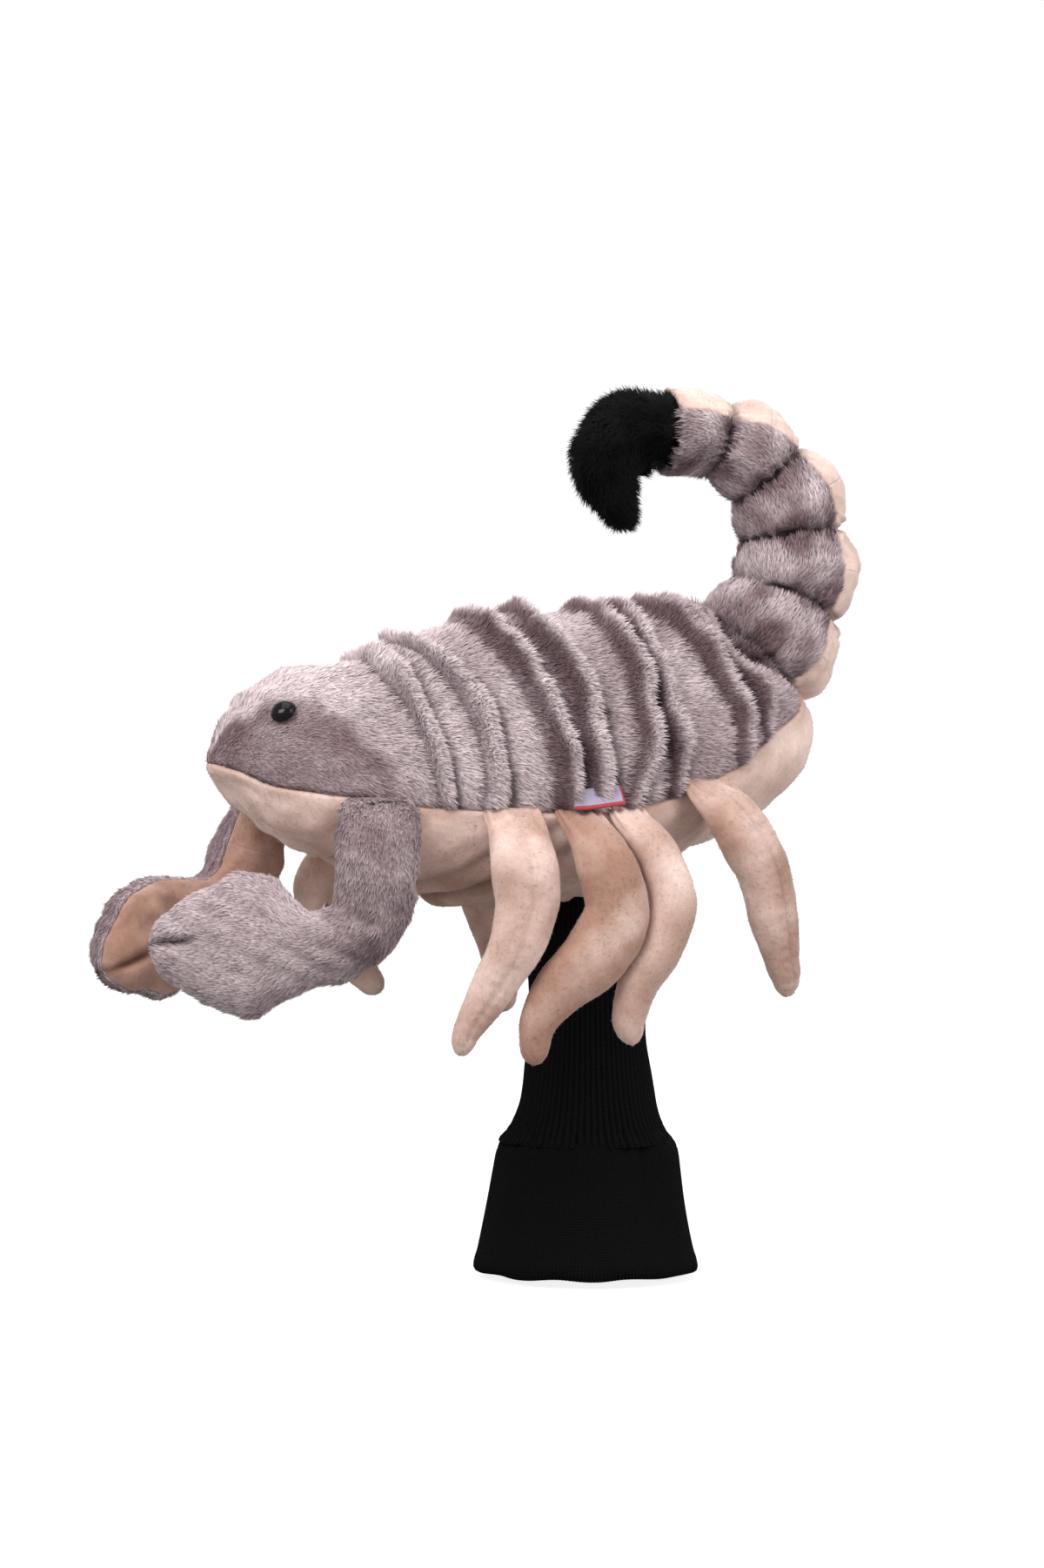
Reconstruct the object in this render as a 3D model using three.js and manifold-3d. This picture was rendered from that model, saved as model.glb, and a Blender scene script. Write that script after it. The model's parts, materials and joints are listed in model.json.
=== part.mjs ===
// A plush scorpion head cover for a golf driver: a padded body with a pouch for the club's head, a knitted
// sock that grips the shaft, two jointed claw arms, eight legs and a curled tail with a stinger.
// Millimetres, +Z up. The origin is the middle of the sock's open end, in the plane of its rim, and the head
// points towards -X. The left side is at -Y.

import * as THREE from "three";
import { mergeVertices } from "three/addons/utils/BufferGeometryUtils.js";
import Module from "manifold-3d";

const wasm = await Module();
wasm.setup();

// Sewing allowances and fabric thicknesses
const sewnGap = 0.4;
const fillGap = 1.6;
const plushThickness = 2.6;
const limbFabric = 1.5;
const liningThickness = 1.2;

// Sock
const cuffHeight = 54;
const cuffTopRadius = 38;
const cuffHemRadius = 46;
const cuffThickness = 5;
const neckLength = 102;
const neckRadius = 24;
const neckThickness = 3;
const neckInsideBody = 18;
const neckBend = 12;

// Body, measured from the sock's axis and from the seam between back and belly
const headReach = 169;
const rearReach = 88;
const bodyHalfWidth = 68;
const backHeight = 89;
const bellyDepth = 40;
const headLength = 51;
const headEnd = headReach - headLength;
const throatZ = cuffHeight + neckLength;
const seamZ = throatZ + bellyDepth;

// Pouch for the club's head, and the padding round it
const frontPadding = 6;
const paddingFront = headEnd - frontPadding;
const pouchAhead = paddingFront - frontPadding;
const pouchBehind = 26;
const pouchWidth = 114;
const pouchHeight = 76;
const pouchRise = 14;

// Eyes
const eyeRadius = 5.5;
const eyeHeight = 3.6;
const stemRadius = 1.6;
const washerRadius = 5;
const washerThickness = 1.2;
const eyeBehindNose = 23;
const eyeAngle = 44;

// Legs: the sewn root is flat and is the hinge. side is -1 on the left. A path runs [towards the rear, out,
// down] from the hinge, and size holds half the width and half the thickness at each of its points.
const rootHalfThickness = 2;
const hingeClearance = 0.9;
const legs = [
  {
    name: "leg_left_1",
    side: -1,
    fromSock: -60,
    path: [[0, 0, 0], [1, 12, 18], [2, 16, 38], [-8, 16, 60], [-23, 14, 90], [-25, 13, 97]],
    size: [[13, 2], [13.5, 9], [12.5, 10], [12, 9.5], [6.5, 6.5], [3, 3]],
  },
  {
    name: "leg_left_2",
    side: -1,
    fromSock: -32,
    path: [[0, 0, 0], [5, 12, 18], [9, 16, 40], [-8, 15, 62], [-23, 13, 80], [-25, 12, 101]],
    size: [[10.5, 2], [11, 9], [12, 10], [10.5, 9.5], [9, 8], [3, 3]],
  },
  {
    name: "leg_left_3",
    side: -1,
    fromSock: -11,
    path: [[0, 0, 0], [7, 11, 18], [12, 15, 38], [5, 14, 58], [-4, 12, 78], [-4, 11, 95]],
    size: [[8.5, 2], [9.5, 8], [9.5, 9.5], [8.5, 8.5], [8.5, 7.5], [3, 3]],
  },
  {
    name: "leg_left_4",
    side: -1,
    fromSock: 28,
    path: [[0, 0, 0], [6, 10, 18], [17, 14, 38], [23, 14, 60], [31, 12, 82], [33, 11, 90]],
    size: [[14, 2], [13, 9], [11.5, 10], [10.5, 9], [7, 6.5], [3, 3]],
  },
  {
    name: "leg_right_1",
    side: 1,
    fromSock: -62,
    path: [[0, 0, 0], [-20, 11, 16], [-30, 15, 34], [-25, 14, 54], [-10, 12, 72], [-2, 11, 80]],
    size: [[13, 2], [12, 9], [11.5, 10], [10.5, 9], [7, 6.5], [3, 3]],
  },
  {
    name: "leg_right_2",
    side: 1,
    fromSock: -34,
    path: [[0, 0, 0], [9, 12, 18], [20, 16, 38], [27, 15, 58], [30, 13, 80], [29, 12, 90]],
    size: [[10.5, 2], [10, 9], [9.5, 9.5], [9, 9], [7, 7], [3, 3]],
  },
  {
    name: "leg_right_3",
    side: 1,
    fromSock: -11,
    path: [[0, 0, 0], [10, 11, 18], [20, 15, 38], [25, 14, 58], [24, 12, 80], [22, 11, 90]],
    size: [[8.5, 2], [9.5, 8], [9.5, 9.5], [9, 9], [7, 7], [3, 3]],
  },
  {
    name: "leg_right_4",
    side: 1,
    fromSock: 28,
    path: [[0, 0, 0], [17, 10, 16], [29, 14, 36], [27, 14, 56], [14, 12, 76], [8, 11, 84]],
    size: [[13, 2], [12.5, 9], [11.5, 10], [10.5, 9], [7, 6.5], [3, 3]],
  },
];

// Arms: the upper arm runs from the shoulder to just short of the elbow, and the forearm starts just past it
// and ends at the claw's tip.
const arms = [
  {
    name: "left",
    side: -1,
    behindNose: 56,
    upper: [[0, 0, 0], [-1, 12, 18], [-2, 14, 34], [-4, 12, 51]],
    upperSize: [[15, 2], [17, 10], [18, 13], [4.5, 4.5]],
    elbow: [-4.5, 12, 58],
    fore: [[-6.5, 0, 0], [-21, 0, 1], [-33, -1, 1], [-45, -2, 0], [-58, -3, 0], [-73, -4, 0], [-90, -5, 0]],
    foreSize: [[4.5, 4.5], [15.5, 11.5], [20, 12], [27, 12], [28, 11.5], [18, 9], [4, 3]],
  },
  {
    name: "right",
    side: 1,
    behindNose: 50,
    upper: [[0, 0, 0], [-4, 14, 14], [-7, 17, 26], [-11, 16, 36]],
    upperSize: [[14, 2], [14, 10], [14.5, 12.5], [4.5, 4.5]],
    elbow: [-13.5, 16, 42.5],
    fore: [[-6, -1, 2], [-20, -3, 6], [-31, -5, 9], [-41, -7, 13], [-51, -9, 17], [-64, -11, 22], [-78, -14, 29]],
    foreSize: [[4.5, 4.5], [14.5, 11.5], [19, 12], [25, 12], [26, 11], [18, 9], [4, 3]],
  },
];

// Tail: each link is a stuffed bulge between two gathered creases. bend is how far it turns forwards of the
// link before it. The stinger's path runs [along the last link's line, forwards of it].
const creaseRadius = 6;
const creaseGap = 1.7;
const bulgePower = 2.4;
const tailWidthShare = 0.94;
const tailSides = 12;
const linkSteps = 6;
const links = [
  { length: 33, radius: 29, bend: 9 },
  { length: 30, radius: 26, bend: 32 },
  { length: 30, radius: 23.5, bend: 30 },
  { length: 27, radius: 20, bend: 38 },
  { length: 26, radius: 17, bend: 23 },
];
const stinger = {
  bend: 5,
  path: [[1.5, 0], [10, -1], [22, 4], [28, 20], [24, 35], [18, 43]],
  size: [[6, 6], [18, 17], [20, 19], [15, 14], [7.5, 7], [3, 3]],
};

// Woven side label
const labelWidth = 22;
const labelDrop = 8.5;
const labelThickness = 0.8;
const labelFromSock = -25;
const labelAboveSeam = 9;
const labelTilt = 30;

const trunkSides = 20;
const limbSides = 8;
const limbSteps = 7;
const bore = 400;

const point = (x, y, z) => new THREE.Vector3(x, y, z);
const mix = THREE.MathUtils.lerp;
const radians = THREE.MathUtils.degToRad;

// Materials
const cloth = (color, roughness) => new THREE.MeshStandardMaterial({ color, roughness, metalness: 0 });
const greyPlush = cloth(0x8d7f80, 0.95);
const beigePlush = cloth(0xc9a690, 0.92);
const blackPlush = cloth(0x0b0a0b, 0.95);
const blackKnit = cloth(0x101011, 0.9);
const innerCloth = cloth(0x1a1a1d, 0.7);
const fibreFill = cloth(0xf0eee8, 1.0);
const glossyBlack = cloth(0x050505, 0.08);
const clearPlastic = cloth(0xd9d9d4, 0.4);
const wovenLabel = cloth(0xe9e6ee, 0.7);

const model = new THREE.Group();

function addPart(name, geometry, material, group = model) {
  const mesh = new THREE.Mesh(geometry, material);
  mesh.name = name;
  group.add(mesh);
  return mesh;
}

// Turns a list of corners and triangles into a geometry whose faces point out.
function closed(corners, triangles) {
  const volume = triangles.reduce((sum, [a, b, c]) => {
    const across = point(0, 0, 0).crossVectors(corners[b], corners[c]);
    return sum + corners[a].dot(across);
  }, 0);
  const order = volume < 0 ? triangles.map(([a, b, c]) => [a, c, b]) : triangles;
  const geometry = new THREE.BufferGeometry().setFromPoints(corners);
  geometry.setIndex(order.flat());
  return geometry;
}

// Adds a grid of quads between rows of corner numbers. Turned ones face the other way.
function stitch(triangles, rows, { wraps = false, turned = false } = {}) {
  const add = (a, b, c) => triangles.push(turned ? [a, c, b] : [a, b, c]);
  for (let i = 0; i + 1 < rows.length; i += 1) {
    const count = rows[i].length;
    for (let j = 0; j < (wraps ? count : count - 1); j += 1) {
      const next = (j + 1) % count;
      add(rows[i][j], rows[i + 1][j], rows[i + 1][next]);
      add(rows[i][j], rows[i + 1][next], rows[i][next]);
    }
  }
}

// Closes one ring of corner numbers with a fan round its middle.
function fan(triangles, corners, ring, turned) {
  const middle = point(0, 0, 0);
  ring.forEach((n) => middle.add(corners[n]));
  corners.push(middle.divideScalar(ring.length));
  const centre = corners.length - 1;
  ring.forEach((n, j) => {
    const next = ring[(j + 1) % ring.length];
    triangles.push(turned ? [centre, next, n] : [centre, n, next]);
  });
}

const numbered = (corners, rings) =>
  rings.map((ring) =>
    ring.map((p) => {
      corners.push(p.clone());
      return corners.length - 1;
    }),
  );

// A solid lofted through rings, closed at both ends.
function loft(rings) {
  const corners = [];
  const triangles = [];
  const rows = numbered(corners, rings);
  stitch(triangles, rows, { wraps: true });
  fan(triangles, corners, rows[0], false);
  fan(triangles, corners, rows[rows.length - 1], true);
  return closed(corners, triangles);
}

// A stocking: closed at its far end, open at its first ring, with a wall between outer and inner rings.
function stocking(outer, inner) {
  const corners = [];
  const triangles = [];
  const outside = numbered(corners, outer);
  const inside = numbered(corners, inner);
  stitch(triangles, outside, { wraps: true });
  fan(triangles, corners, outside[outside.length - 1], true);
  stitch(triangles, inside, { wraps: true, turned: true });
  fan(triangles, corners, inside[inside.length - 1], false);
  stitch(triangles, [inside[0], outside[0]], { wraps: true });
  return closed(corners, triangles);
}

// A panel of cloth: the stretch of a tube's wall from ring corner first to last, both ends drawn back from
// the seam by half the sewn gap.
function panel(outer, inner, first, last) {
  const stretch = (ring) => {
    const row = [];
    for (let j = first; j <= last; j += 1) {
      row.push(ring[j % ring.length].clone());
    }
    const back = (end, next) => end.add(next.clone().sub(end).setLength(sewnGap / 2));
    back(row[0], row[1]);
    back(row[row.length - 1], row[row.length - 2]);
    return row;
  };
  const corners = [];
  const triangles = [];
  const outside = numbered(corners, outer.map(stretch));
  const inside = numbered(corners, inner.map(stretch));
  stitch(triangles, outside);
  stitch(triangles, inside, { turned: true });
  for (const j of [0, outside[0].length - 1]) {
    const edge = [outside.map((row) => row[j]), inside.map((row) => row[j])];
    stitch(triangles, edge, { turned: j > 0 });
  }
  stitch(triangles, [inside[0], outside[0]]);
  stitch(triangles, [outside[outside.length - 1], inside[inside.length - 1]]);
  return closed(corners, triangles);
}

// Joins and cuts are made on solids in world space.
function solidOf(geometry, matrix = new THREE.Matrix4()) {
  const bare = (geometry.index ? geometry.toNonIndexed() : geometry.clone()).applyMatrix4(matrix);
  bare.deleteAttribute("normal");
  bare.deleteAttribute("uv");
  const merged = mergeVertices(bare, 1e-4);
  const vertProperties = new Float32Array(merged.attributes.position.array);
  return new wasm.Manifold(new wasm.Mesh({ numProp: 3, vertProperties, triVerts: new Uint32Array(merged.index.array) }));
}

function geometryOf(solid) {
  const mesh = solid.getMesh();
  const geometry = new THREE.BufferGeometry();
  geometry.setAttribute("position", new THREE.BufferAttribute(new Float32Array(mesh.vertProperties), 3));
  geometry.setIndex(new THREE.BufferAttribute(new Uint32Array(mesh.triVerts), 1));
  return geometry;
}

const placed = (x, y, z) => new THREE.Matrix4().makeTranslation(x, y, z);

// The body's sections from nose to tail. x is the seam's place, as a share of the reach ahead of or behind
// the sock, rise is the seam above its lowest level, lean tips the section forwards, and top, belly and width
// are shares of the back's height, the belly's depth and the half width.
const sections = [
  { x: -1, rise: 20, lean: 0, top: 0.035, belly: 0.07, width: 0.045 },
  { x: -0.985, rise: 19, lean: 0, top: 0.11, belly: 0.12, width: 0.13 },
  { x: -0.95, rise: 15.5, lean: 0, top: 0.25, belly: 0.16, width: 0.33 },
  { x: -0.9, rise: 11, lean: 0, top: 0.42, belly: 0.25, width: 0.5 },
  { x: -0.82, rise: 8.5, lean: 0, top: 0.56, belly: 0.43, width: 0.62 },
  { x: -0.7, rise: 6, lean: 0, top: 0.63, belly: 0.61, width: 0.72 },
  { x: -0.56, rise: 2.5, lean: 0, top: 0.81, belly: 0.78, width: 0.84 },
  { x: -0.4, rise: 1, lean: 0, top: 0.93, belly: 1, width: 0.92 },
  { x: -0.24, rise: 0, lean: 0, top: 1, belly: 1.03, width: 0.98 },
  { x: -0.06, rise: 1.5, lean: 0, top: 1, belly: 0.95, width: 1 },
  { x: 0.25, rise: 10, lean: 3, top: 0.92, belly: 0.8, width: 0.93 },
  { x: 0.57, rise: 22, lean: 10, top: 0.81, belly: 0.82, width: 0.79 },
  { x: 0.78, rise: 34, lean: 21, top: 0.69, belly: 0.78, width: 0.65 },
  { x: 0.95, rise: 43.5, lean: 34, top: 0.63, belly: 0.63, width: 0.53 },
  { x: 1, rise: 50, lean: 43, top: 0.58, belly: 0.28, width: 0.42 },
];

const rows = sections.map((s) => ({
  x: s.x * (s.x < 0 ? headReach : rearReach),
  z: seamZ + s.rise,
  lean: s.lean,
  top: s.top * backHeight,
  belly: s.belly * bellyDepth,
  width: s.width * bodyHalfWidth,
}));

// The section at a place along the body, between its two neighbours.
function rowAt(x) {
  const n = Math.min(rows.length - 2, Math.max(0, rows.findIndex((row) => row.x >= x) - 1));
  const [a, b] = [rows[n], rows[n + 1]];
  const share = (x - a.x) / (b.x - a.x);
  return Object.fromEntries(Object.keys(a).map((key) => [key, mix(a[key], b[key], share)]));
}

function rowsBetween(from, to) {
  const inner = rows.filter((row) => row.x > from + 1 && row.x < to - 1);
  return [rowAt(from), ...inner, rowAt(to)];
}

// A section's ring, set in by a wall's thickness. Its first corner is on the left seam, and it runs over the
// back to the right seam and then under the belly.
const roundness = 0.9;
const smallest = 0.3;
function ring(row, inset = 0) {
  const up = point(-Math.sin(radians(row.lean)), 0, Math.cos(radians(row.lean)));
  const width = Math.max(row.width - inset, smallest);
  const corners = [];
  for (let j = 0; j < trunkSides; j += 1) {
    const angle = (2 * Math.PI * j) / trunkSides;
    const across = Math.sign(Math.cos(angle)) * Math.abs(Math.cos(angle)) ** roundness;
    const high = Math.sign(Math.sin(angle)) * Math.abs(Math.sin(angle)) ** roundness;
    const reach = Math.max((high >= 0 ? row.top : row.belly) - inset, smallest);
    corners.push(point(row.x, -across * width, row.z).addScaledVector(up, high * reach));
  }
  return corners;
}

const rings = (from, to, inset) => rowsBetween(from, to).map((row) => ring(row, inset));
const noseX = -headReach;
const overBack = [0, trunkSides / 2];
const underBelly = [trunkSides / 2, trunkSides];

// A panel of the body's cover between two places along it.
function bodyPanel(from, to, [first, last]) {
  return panel(rings(from, to, 0), rings(from, to, plushThickness), first, last);
}

// Body, pouch and padding
const pouchCentre = point((pouchBehind - pouchAhead) / 2, 0, seamZ + pouchRise);
function pouchSolid(grown) {
  const ball = new THREE.SphereGeometry(1, 18, 10);
  ball.scale((pouchBehind + pouchAhead) / 2 + grown, pouchWidth / 2 + grown, pouchHeight / 2 + grown);
  return solidOf(ball, placed(...pouchCentre));
}

// The throat is as wide as the neck needs when it is bent over.
const neckTop = throatZ + neckInsideBody;
const bent = radians(neckBend);
const throatRadius = neckRadius * Math.cos(bent) + neckInsideBody * Math.sin(bent) + 2 * sewnGap;
function throatSolid() {
  const shaft = new THREE.CylinderGeometry(throatRadius, throatRadius, pouchCentre.z, 24);
  shaft.rotateX(Math.PI / 2);
  return solidOf(shaft, placed(0, 0, pouchCentre.z / 2));
}

function addBody() {
  const gap = sewnGap / 2;
  addPart("back_panel", bodyPanel(-headEnd + gap, rearReach, overBack), greyPlush);
  const belly = solidOf(bodyPanel(-headEnd + gap, rearReach, underBelly));
  addPart("belly_panel", geometryOf(belly.subtract(throatSolid())), beigePlush);
  addPart("chin_panel", bodyPanel(noseX, -headEnd - gap, underBelly), beigePlush);

  const filled = solidOf(loft(rings(-paddingFront, rearReach - fillGap, plushThickness + fillGap)));
  const hollow = filled.subtract(pouchSolid(liningThickness + fillGap)).subtract(throatSolid());
  for (const [name, side] of [["padding_upper", 1], ["padding_lower", -1]]) {
    const box = new THREE.BoxGeometry(bore * 2, bore, bore);
    const half = solidOf(box, placed(0, 0, pouchCentre.z + side * (bore / 2 + gap)));
    addPart(name, geometryOf(hollow.intersect(half)), fibreFill);
  }
  const pouch = pouchSolid(liningThickness).subtract(pouchSolid(0)).subtract(throatSolid());
  addPart("pouch_lining", geometryOf(pouch), innerCloth);
}

// Eyes: a dome on a stem through the head's cover, held by a washer inside
const eyeX = noseX + eyeBehindNose;
function headPoint(x, angle, inset) {
  const row = rowAt(x);
  const turn = radians(angle);
  const across = Math.cos(turn) ** roundness * (row.width - inset);
  return point(x, -across, row.z + Math.sin(turn) ** roundness * (row.top - inset));
}

// The eye's place on one side, turned so that its own +Z points out of the head.
function eyeMatrix(side) {
  const here = headPoint(eyeX, eyeAngle, 0);
  const along = headPoint(eyeX + 2, eyeAngle, 0).sub(here);
  const over = headPoint(eyeX, eyeAngle + 2, 0).sub(here);
  const out = along.cross(over).normalize();
  if (out.y > 0) {
    out.negate();
  }
  here.y *= -side;
  out.y *= -side;
  const turn = new THREE.Quaternion().setFromUnitVectors(point(0, 0, 1), out);
  return new THREE.Matrix4().compose(here, turn, point(1, 1, 1));
}

const lathe = (outline, sides = 12) => {
  const turned = new THREE.LatheGeometry(outline.map(([r, z]) => new THREE.Vector2(r, z)), sides);
  return turned.rotateX(Math.PI / 2);
};

const rod = (radius, from, to) => lathe([[0, from], [radius, from], [radius, to], [0, to]]);
const eyeSeat = 0.2;
const washerDepth = plushThickness + 1.4;
const stemEnd = -washerDepth - washerThickness - 1.5;

function eyeGeometry() {
  const dome = [[0, stemEnd], [stemRadius, stemEnd], [stemRadius, eyeSeat], [eyeRadius, eyeSeat]];
  for (let step = 1; step <= 4; step += 1) {
    const turn = (step * Math.PI) / 8;
    dome.push([step < 4 ? eyeRadius * Math.cos(turn) : 0, eyeSeat + eyeHeight * Math.sin(turn)]);
  }
  return lathe(dome);
}

function washerGeometry() {
  const hole = stemRadius + 0.3;
  const [low, high] = [-washerDepth - washerThickness, -washerDepth];
  return lathe([[hole, low], [washerRadius, low], [washerRadius, high], [hole, high], [hole, low]]);
}

function addHead() {
  let cover = solidOf(bodyPanel(noseX, -headEnd - sewnGap / 2, overBack));
  const stuffed = rings(noseX + plushThickness, -paddingFront - sewnGap, plushThickness + fillGap);
  let stuffing = solidOf(loft(stuffed));
  for (const [name, side] of [["left", -1], ["right", 1]]) {
    const here = eyeMatrix(side);
    const stemHole = solidOf(rod(stemRadius + 0.3, -washerDepth - 6, eyeHeight), here);
    const seat = solidOf(rod(eyeRadius + 0.3, eyeSeat - 0.3, eyeHeight * 2), here);
    const washerRoom = solidOf(rod(washerRadius + 0.5, stemEnd - 0.5, 0), here);
    const flange = solidOf(rod(washerRadius + 0.5, -washerDepth - washerThickness - 0.4, 0.3 - washerDepth), here);
    cover = cover.subtract(stemHole).subtract(seat).subtract(flange);
    stuffing = stuffing.subtract(washerRoom);
    const eye = new THREE.Group();
    eye.applyMatrix4(here);
    addPart(`eye_${name}`, eyeGeometry(), glossyBlack, eye);
    addPart(`eye_washer_${name}`, washerGeometry(), clearPlastic, eye);
    model.add(eye);
  }
  addPart("head_panel", geometryOf(cover), greyPlush);
  addPart("head_stuffing", geometryOf(stuffing), fibreFill);
}

// Sock: a ribbed neck and a folded cuff, both turned about the shaft's line
function addSock() {
  const sock = new THREE.Group();
  sock.name = "sock_hinge";
  sock.position.set(0, 0, throatZ);
  const flare = (z, radius) => [radius, z - throatZ];
  const outline = [
    flare(cuffHeight + sewnGap, cuffTopRadius),
    flare(cuffHeight + 6, cuffTopRadius - 6),
    flare(cuffHeight + 16, neckRadius + 4),
    flare(cuffHeight + 36, neckRadius + 1.5),
    flare(cuffHeight + 60, neckRadius),
    flare(neckTop, neckRadius),
  ];
  const inner = outline.map(([radius, z]) => [radius - neckThickness, z]).reverse();
  addPart("sock_neck", lathe([...outline, ...inner, outline[0]], 24), blackKnit, sock);

  const hemCorner = 3;
  const cuffOutline = [
    flare(0, cuffHemRadius - hemCorner / 2),
    flare(2 * hemCorner, cuffHemRadius),
    flare(cuffHeight / 2, (cuffTopRadius + cuffHemRadius) / 2 + 1),
    flare(cuffHeight, cuffTopRadius),
  ];
  const cuffInner = cuffOutline.map(([radius, z]) => [radius - cuffThickness, z]).reverse();
  addPart("sock_cuff", lathe([...cuffOutline, ...cuffInner, cuffOutline[0]], 24), blackKnit, sock);
  model.add(sock);
}

// Rings round a limb's path. The wide way lies along wide, squared up to the path, except that a limb sewn to
// the body starts level, as a flat root along its seam.
function limbRings(path, size, wide, { inset = 0, trim = 0, level = false }) {
  const line = new THREE.CatmullRomCurve3(path, false, "catmullrom", 0.5);
  const sizes = new THREE.CatmullRomCurve3(size.map(([a, b]) => point(a, b, 0)), false, "catmullrom", 0.5);
  const made = [];
  for (let step = 0; step <= limbSteps; step += 1) {
    const share = step / limbSteps;
    const middle = line.getPoint(share);
    const along = level && step === 0 ? point(0, 0, -1) : line.getTangent(share);
    const across = wide.clone().addScaledVector(along, -wide.dot(along)).normalize();
    const through = point(0, 0, 0).crossVectors(along, across);
    const half = sizes.getPoint(share);
    if (step === limbSteps) {
      middle.addScaledVector(along, -trim);
    }
    const corners = [];
    for (let j = 0; j < limbSides; j += 1) {
      const angle = (2 * Math.PI * j) / limbSides;
      const corner = middle.clone();
      corner.addScaledVector(across, Math.cos(angle) * Math.max(half.x - inset, smallest));
      corner.addScaledVector(through, Math.sin(angle) * Math.max(half.y - inset, smallest));
      corners.push(corner);
    }
    made.push(corners);
  }
  return made;
}

// The filling keeps clear of both ends of its cover.
const limbFilling = (path, size, wide) =>
  loft(limbRings(path, size, wide, { inset: limbFabric + fillGap }).slice(1, limbSteps));

function limbSock(path, size, wide, level) {
  const outer = limbRings(path, size, wide, { level });
  const inner = limbRings(path, size, wide, { inset: limbFabric, trim: limbFabric, level });
  return stocking(outer, inner);
}

// A hinge group on the body's seam, with its X along the seam and its Y outwards on the right side.
function hingeGroup(name, fromSock, side) {
  const row = rowAt(fromSock);
  const before = rowAt(fromSock - 8);
  const after = rowAt(fromSock + 8);
  const turn = Math.atan2(side * (after.width - before.width), after.x - before.x);
  const off = rootHalfThickness + hingeClearance;
  const group = new THREE.Group();
  group.name = name;
  group.position.set(fromSock - side * Math.sin(turn) * off, side * (row.width + Math.cos(turn) * off), row.z);
  group.rotation.z = turn;
  model.add(group);
  return group;
}

const outAndDown = (side) => ([back, out, down]) => point(back, side * out, -down);
const alongSeam = point(1, 0, 0);
const upright = point(0, 0, 1);

function addLeg(leg) {
  const group = hingeGroup(`${leg.name}_hinge`, leg.fromSock, leg.side);
  const path = leg.path.map(outAndDown(leg.side));
  addPart(`${leg.name}_cover`, limbSock(path, leg.size, alongSeam, true), beigePlush, group);
  addPart(`${leg.name}_stuffing`, limbFilling(path, leg.size, alongSeam), fibreFill, group);
}

// One stuffed part of an arm: a grey panel outwards, a beige one towards the body, and its filling. The rings
// of an upper arm and of a forearm run round opposite ways.
function addArmPart(name, path, size, wide, greyFirst, level, group) {
  const outer = limbRings(path, size, wide, { level });
  const inner = limbRings(path, size, wide, { inset: limbFabric, level });
  const halves = [[0, limbSides / 2], [limbSides / 2, limbSides]];
  const [grey, beige] = greyFirst ? halves : [...halves].reverse();
  addPart(`${name}_outer`, panel(outer, inner, ...grey), greyPlush, group);
  addPart(`${name}_inner`, panel(outer, inner, ...beige), beigePlush, group);
  addPart(`${name}_stuffing`, limbFilling(path, size, wide), fibreFill, group);
}

function addArm(arm) {
  const shoulder = hingeGroup(`arm_${arm.name}_shoulder`, noseX + arm.behindNose, arm.side);
  const place = outAndDown(arm.side);
  const outwards = arm.side < 0;
  addArmPart(`arm_${arm.name}_upper`, arm.upper.map(place), arm.upperSize, alongSeam, outwards, true, shoulder);
  const elbow = new THREE.Group();
  elbow.name = `arm_${arm.name}_elbow`;
  elbow.position.copy(place(arm.elbow));
  addArmPart(`claw_${arm.name}`, arm.fore.map(place), arm.foreSize, upright, outwards, false, elbow);
  shoulder.add(elbow);
}

// A tail link's rings along its own X, from crease to crease, with its back towards +Z. It bulges between its
// creases, and its end rings lean with them by half of each bend.
function linkRings(link, nextBend, inset) {
  const made = [];
  const clear = link.length / 2 - creaseGap / 2 - inset;
  const gathered = Math.acos((creaseRadius / link.radius) ** (bulgePower / 2));
  for (let step = 0; step <= linkSteps; step += 1) {
    const angle = mix(-gathered, gathered, step / linkSteps);
    const share = Math.abs(Math.sin(angle) / Math.sin(gathered)) ** (2 / bulgePower) * Math.sign(angle);
    const radius = link.radius * Math.cos(angle) ** (2 / bulgePower) - inset;
    const lean = radians(mix(link.bend, -nextBend, (share + 1) / 2) / 2);
    const up = point(Math.sin(lean), 0, Math.cos(lean));
    const corners = [];
    for (let j = 0; j < tailSides; j += 1) {
      const turn = (2 * Math.PI * j) / tailSides;
      const corner = point(link.length / 2 + share * clear, Math.cos(turn) * radius * tailWidthShare, 0);
      corners.push(corner.addScaledVector(up, Math.sin(turn) * radius));
    }
    made.push(corners);
  }
  return made;
}

// Each link is hinged at the crease before it. The beige strip along its underside is a third of its girth.
const beigeStrip = [(tailSides * 7) / 12, (tailSides * 11) / 12];
const greyBack = [beigeStrip[1], beigeStrip[0] + tailSides];

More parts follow.
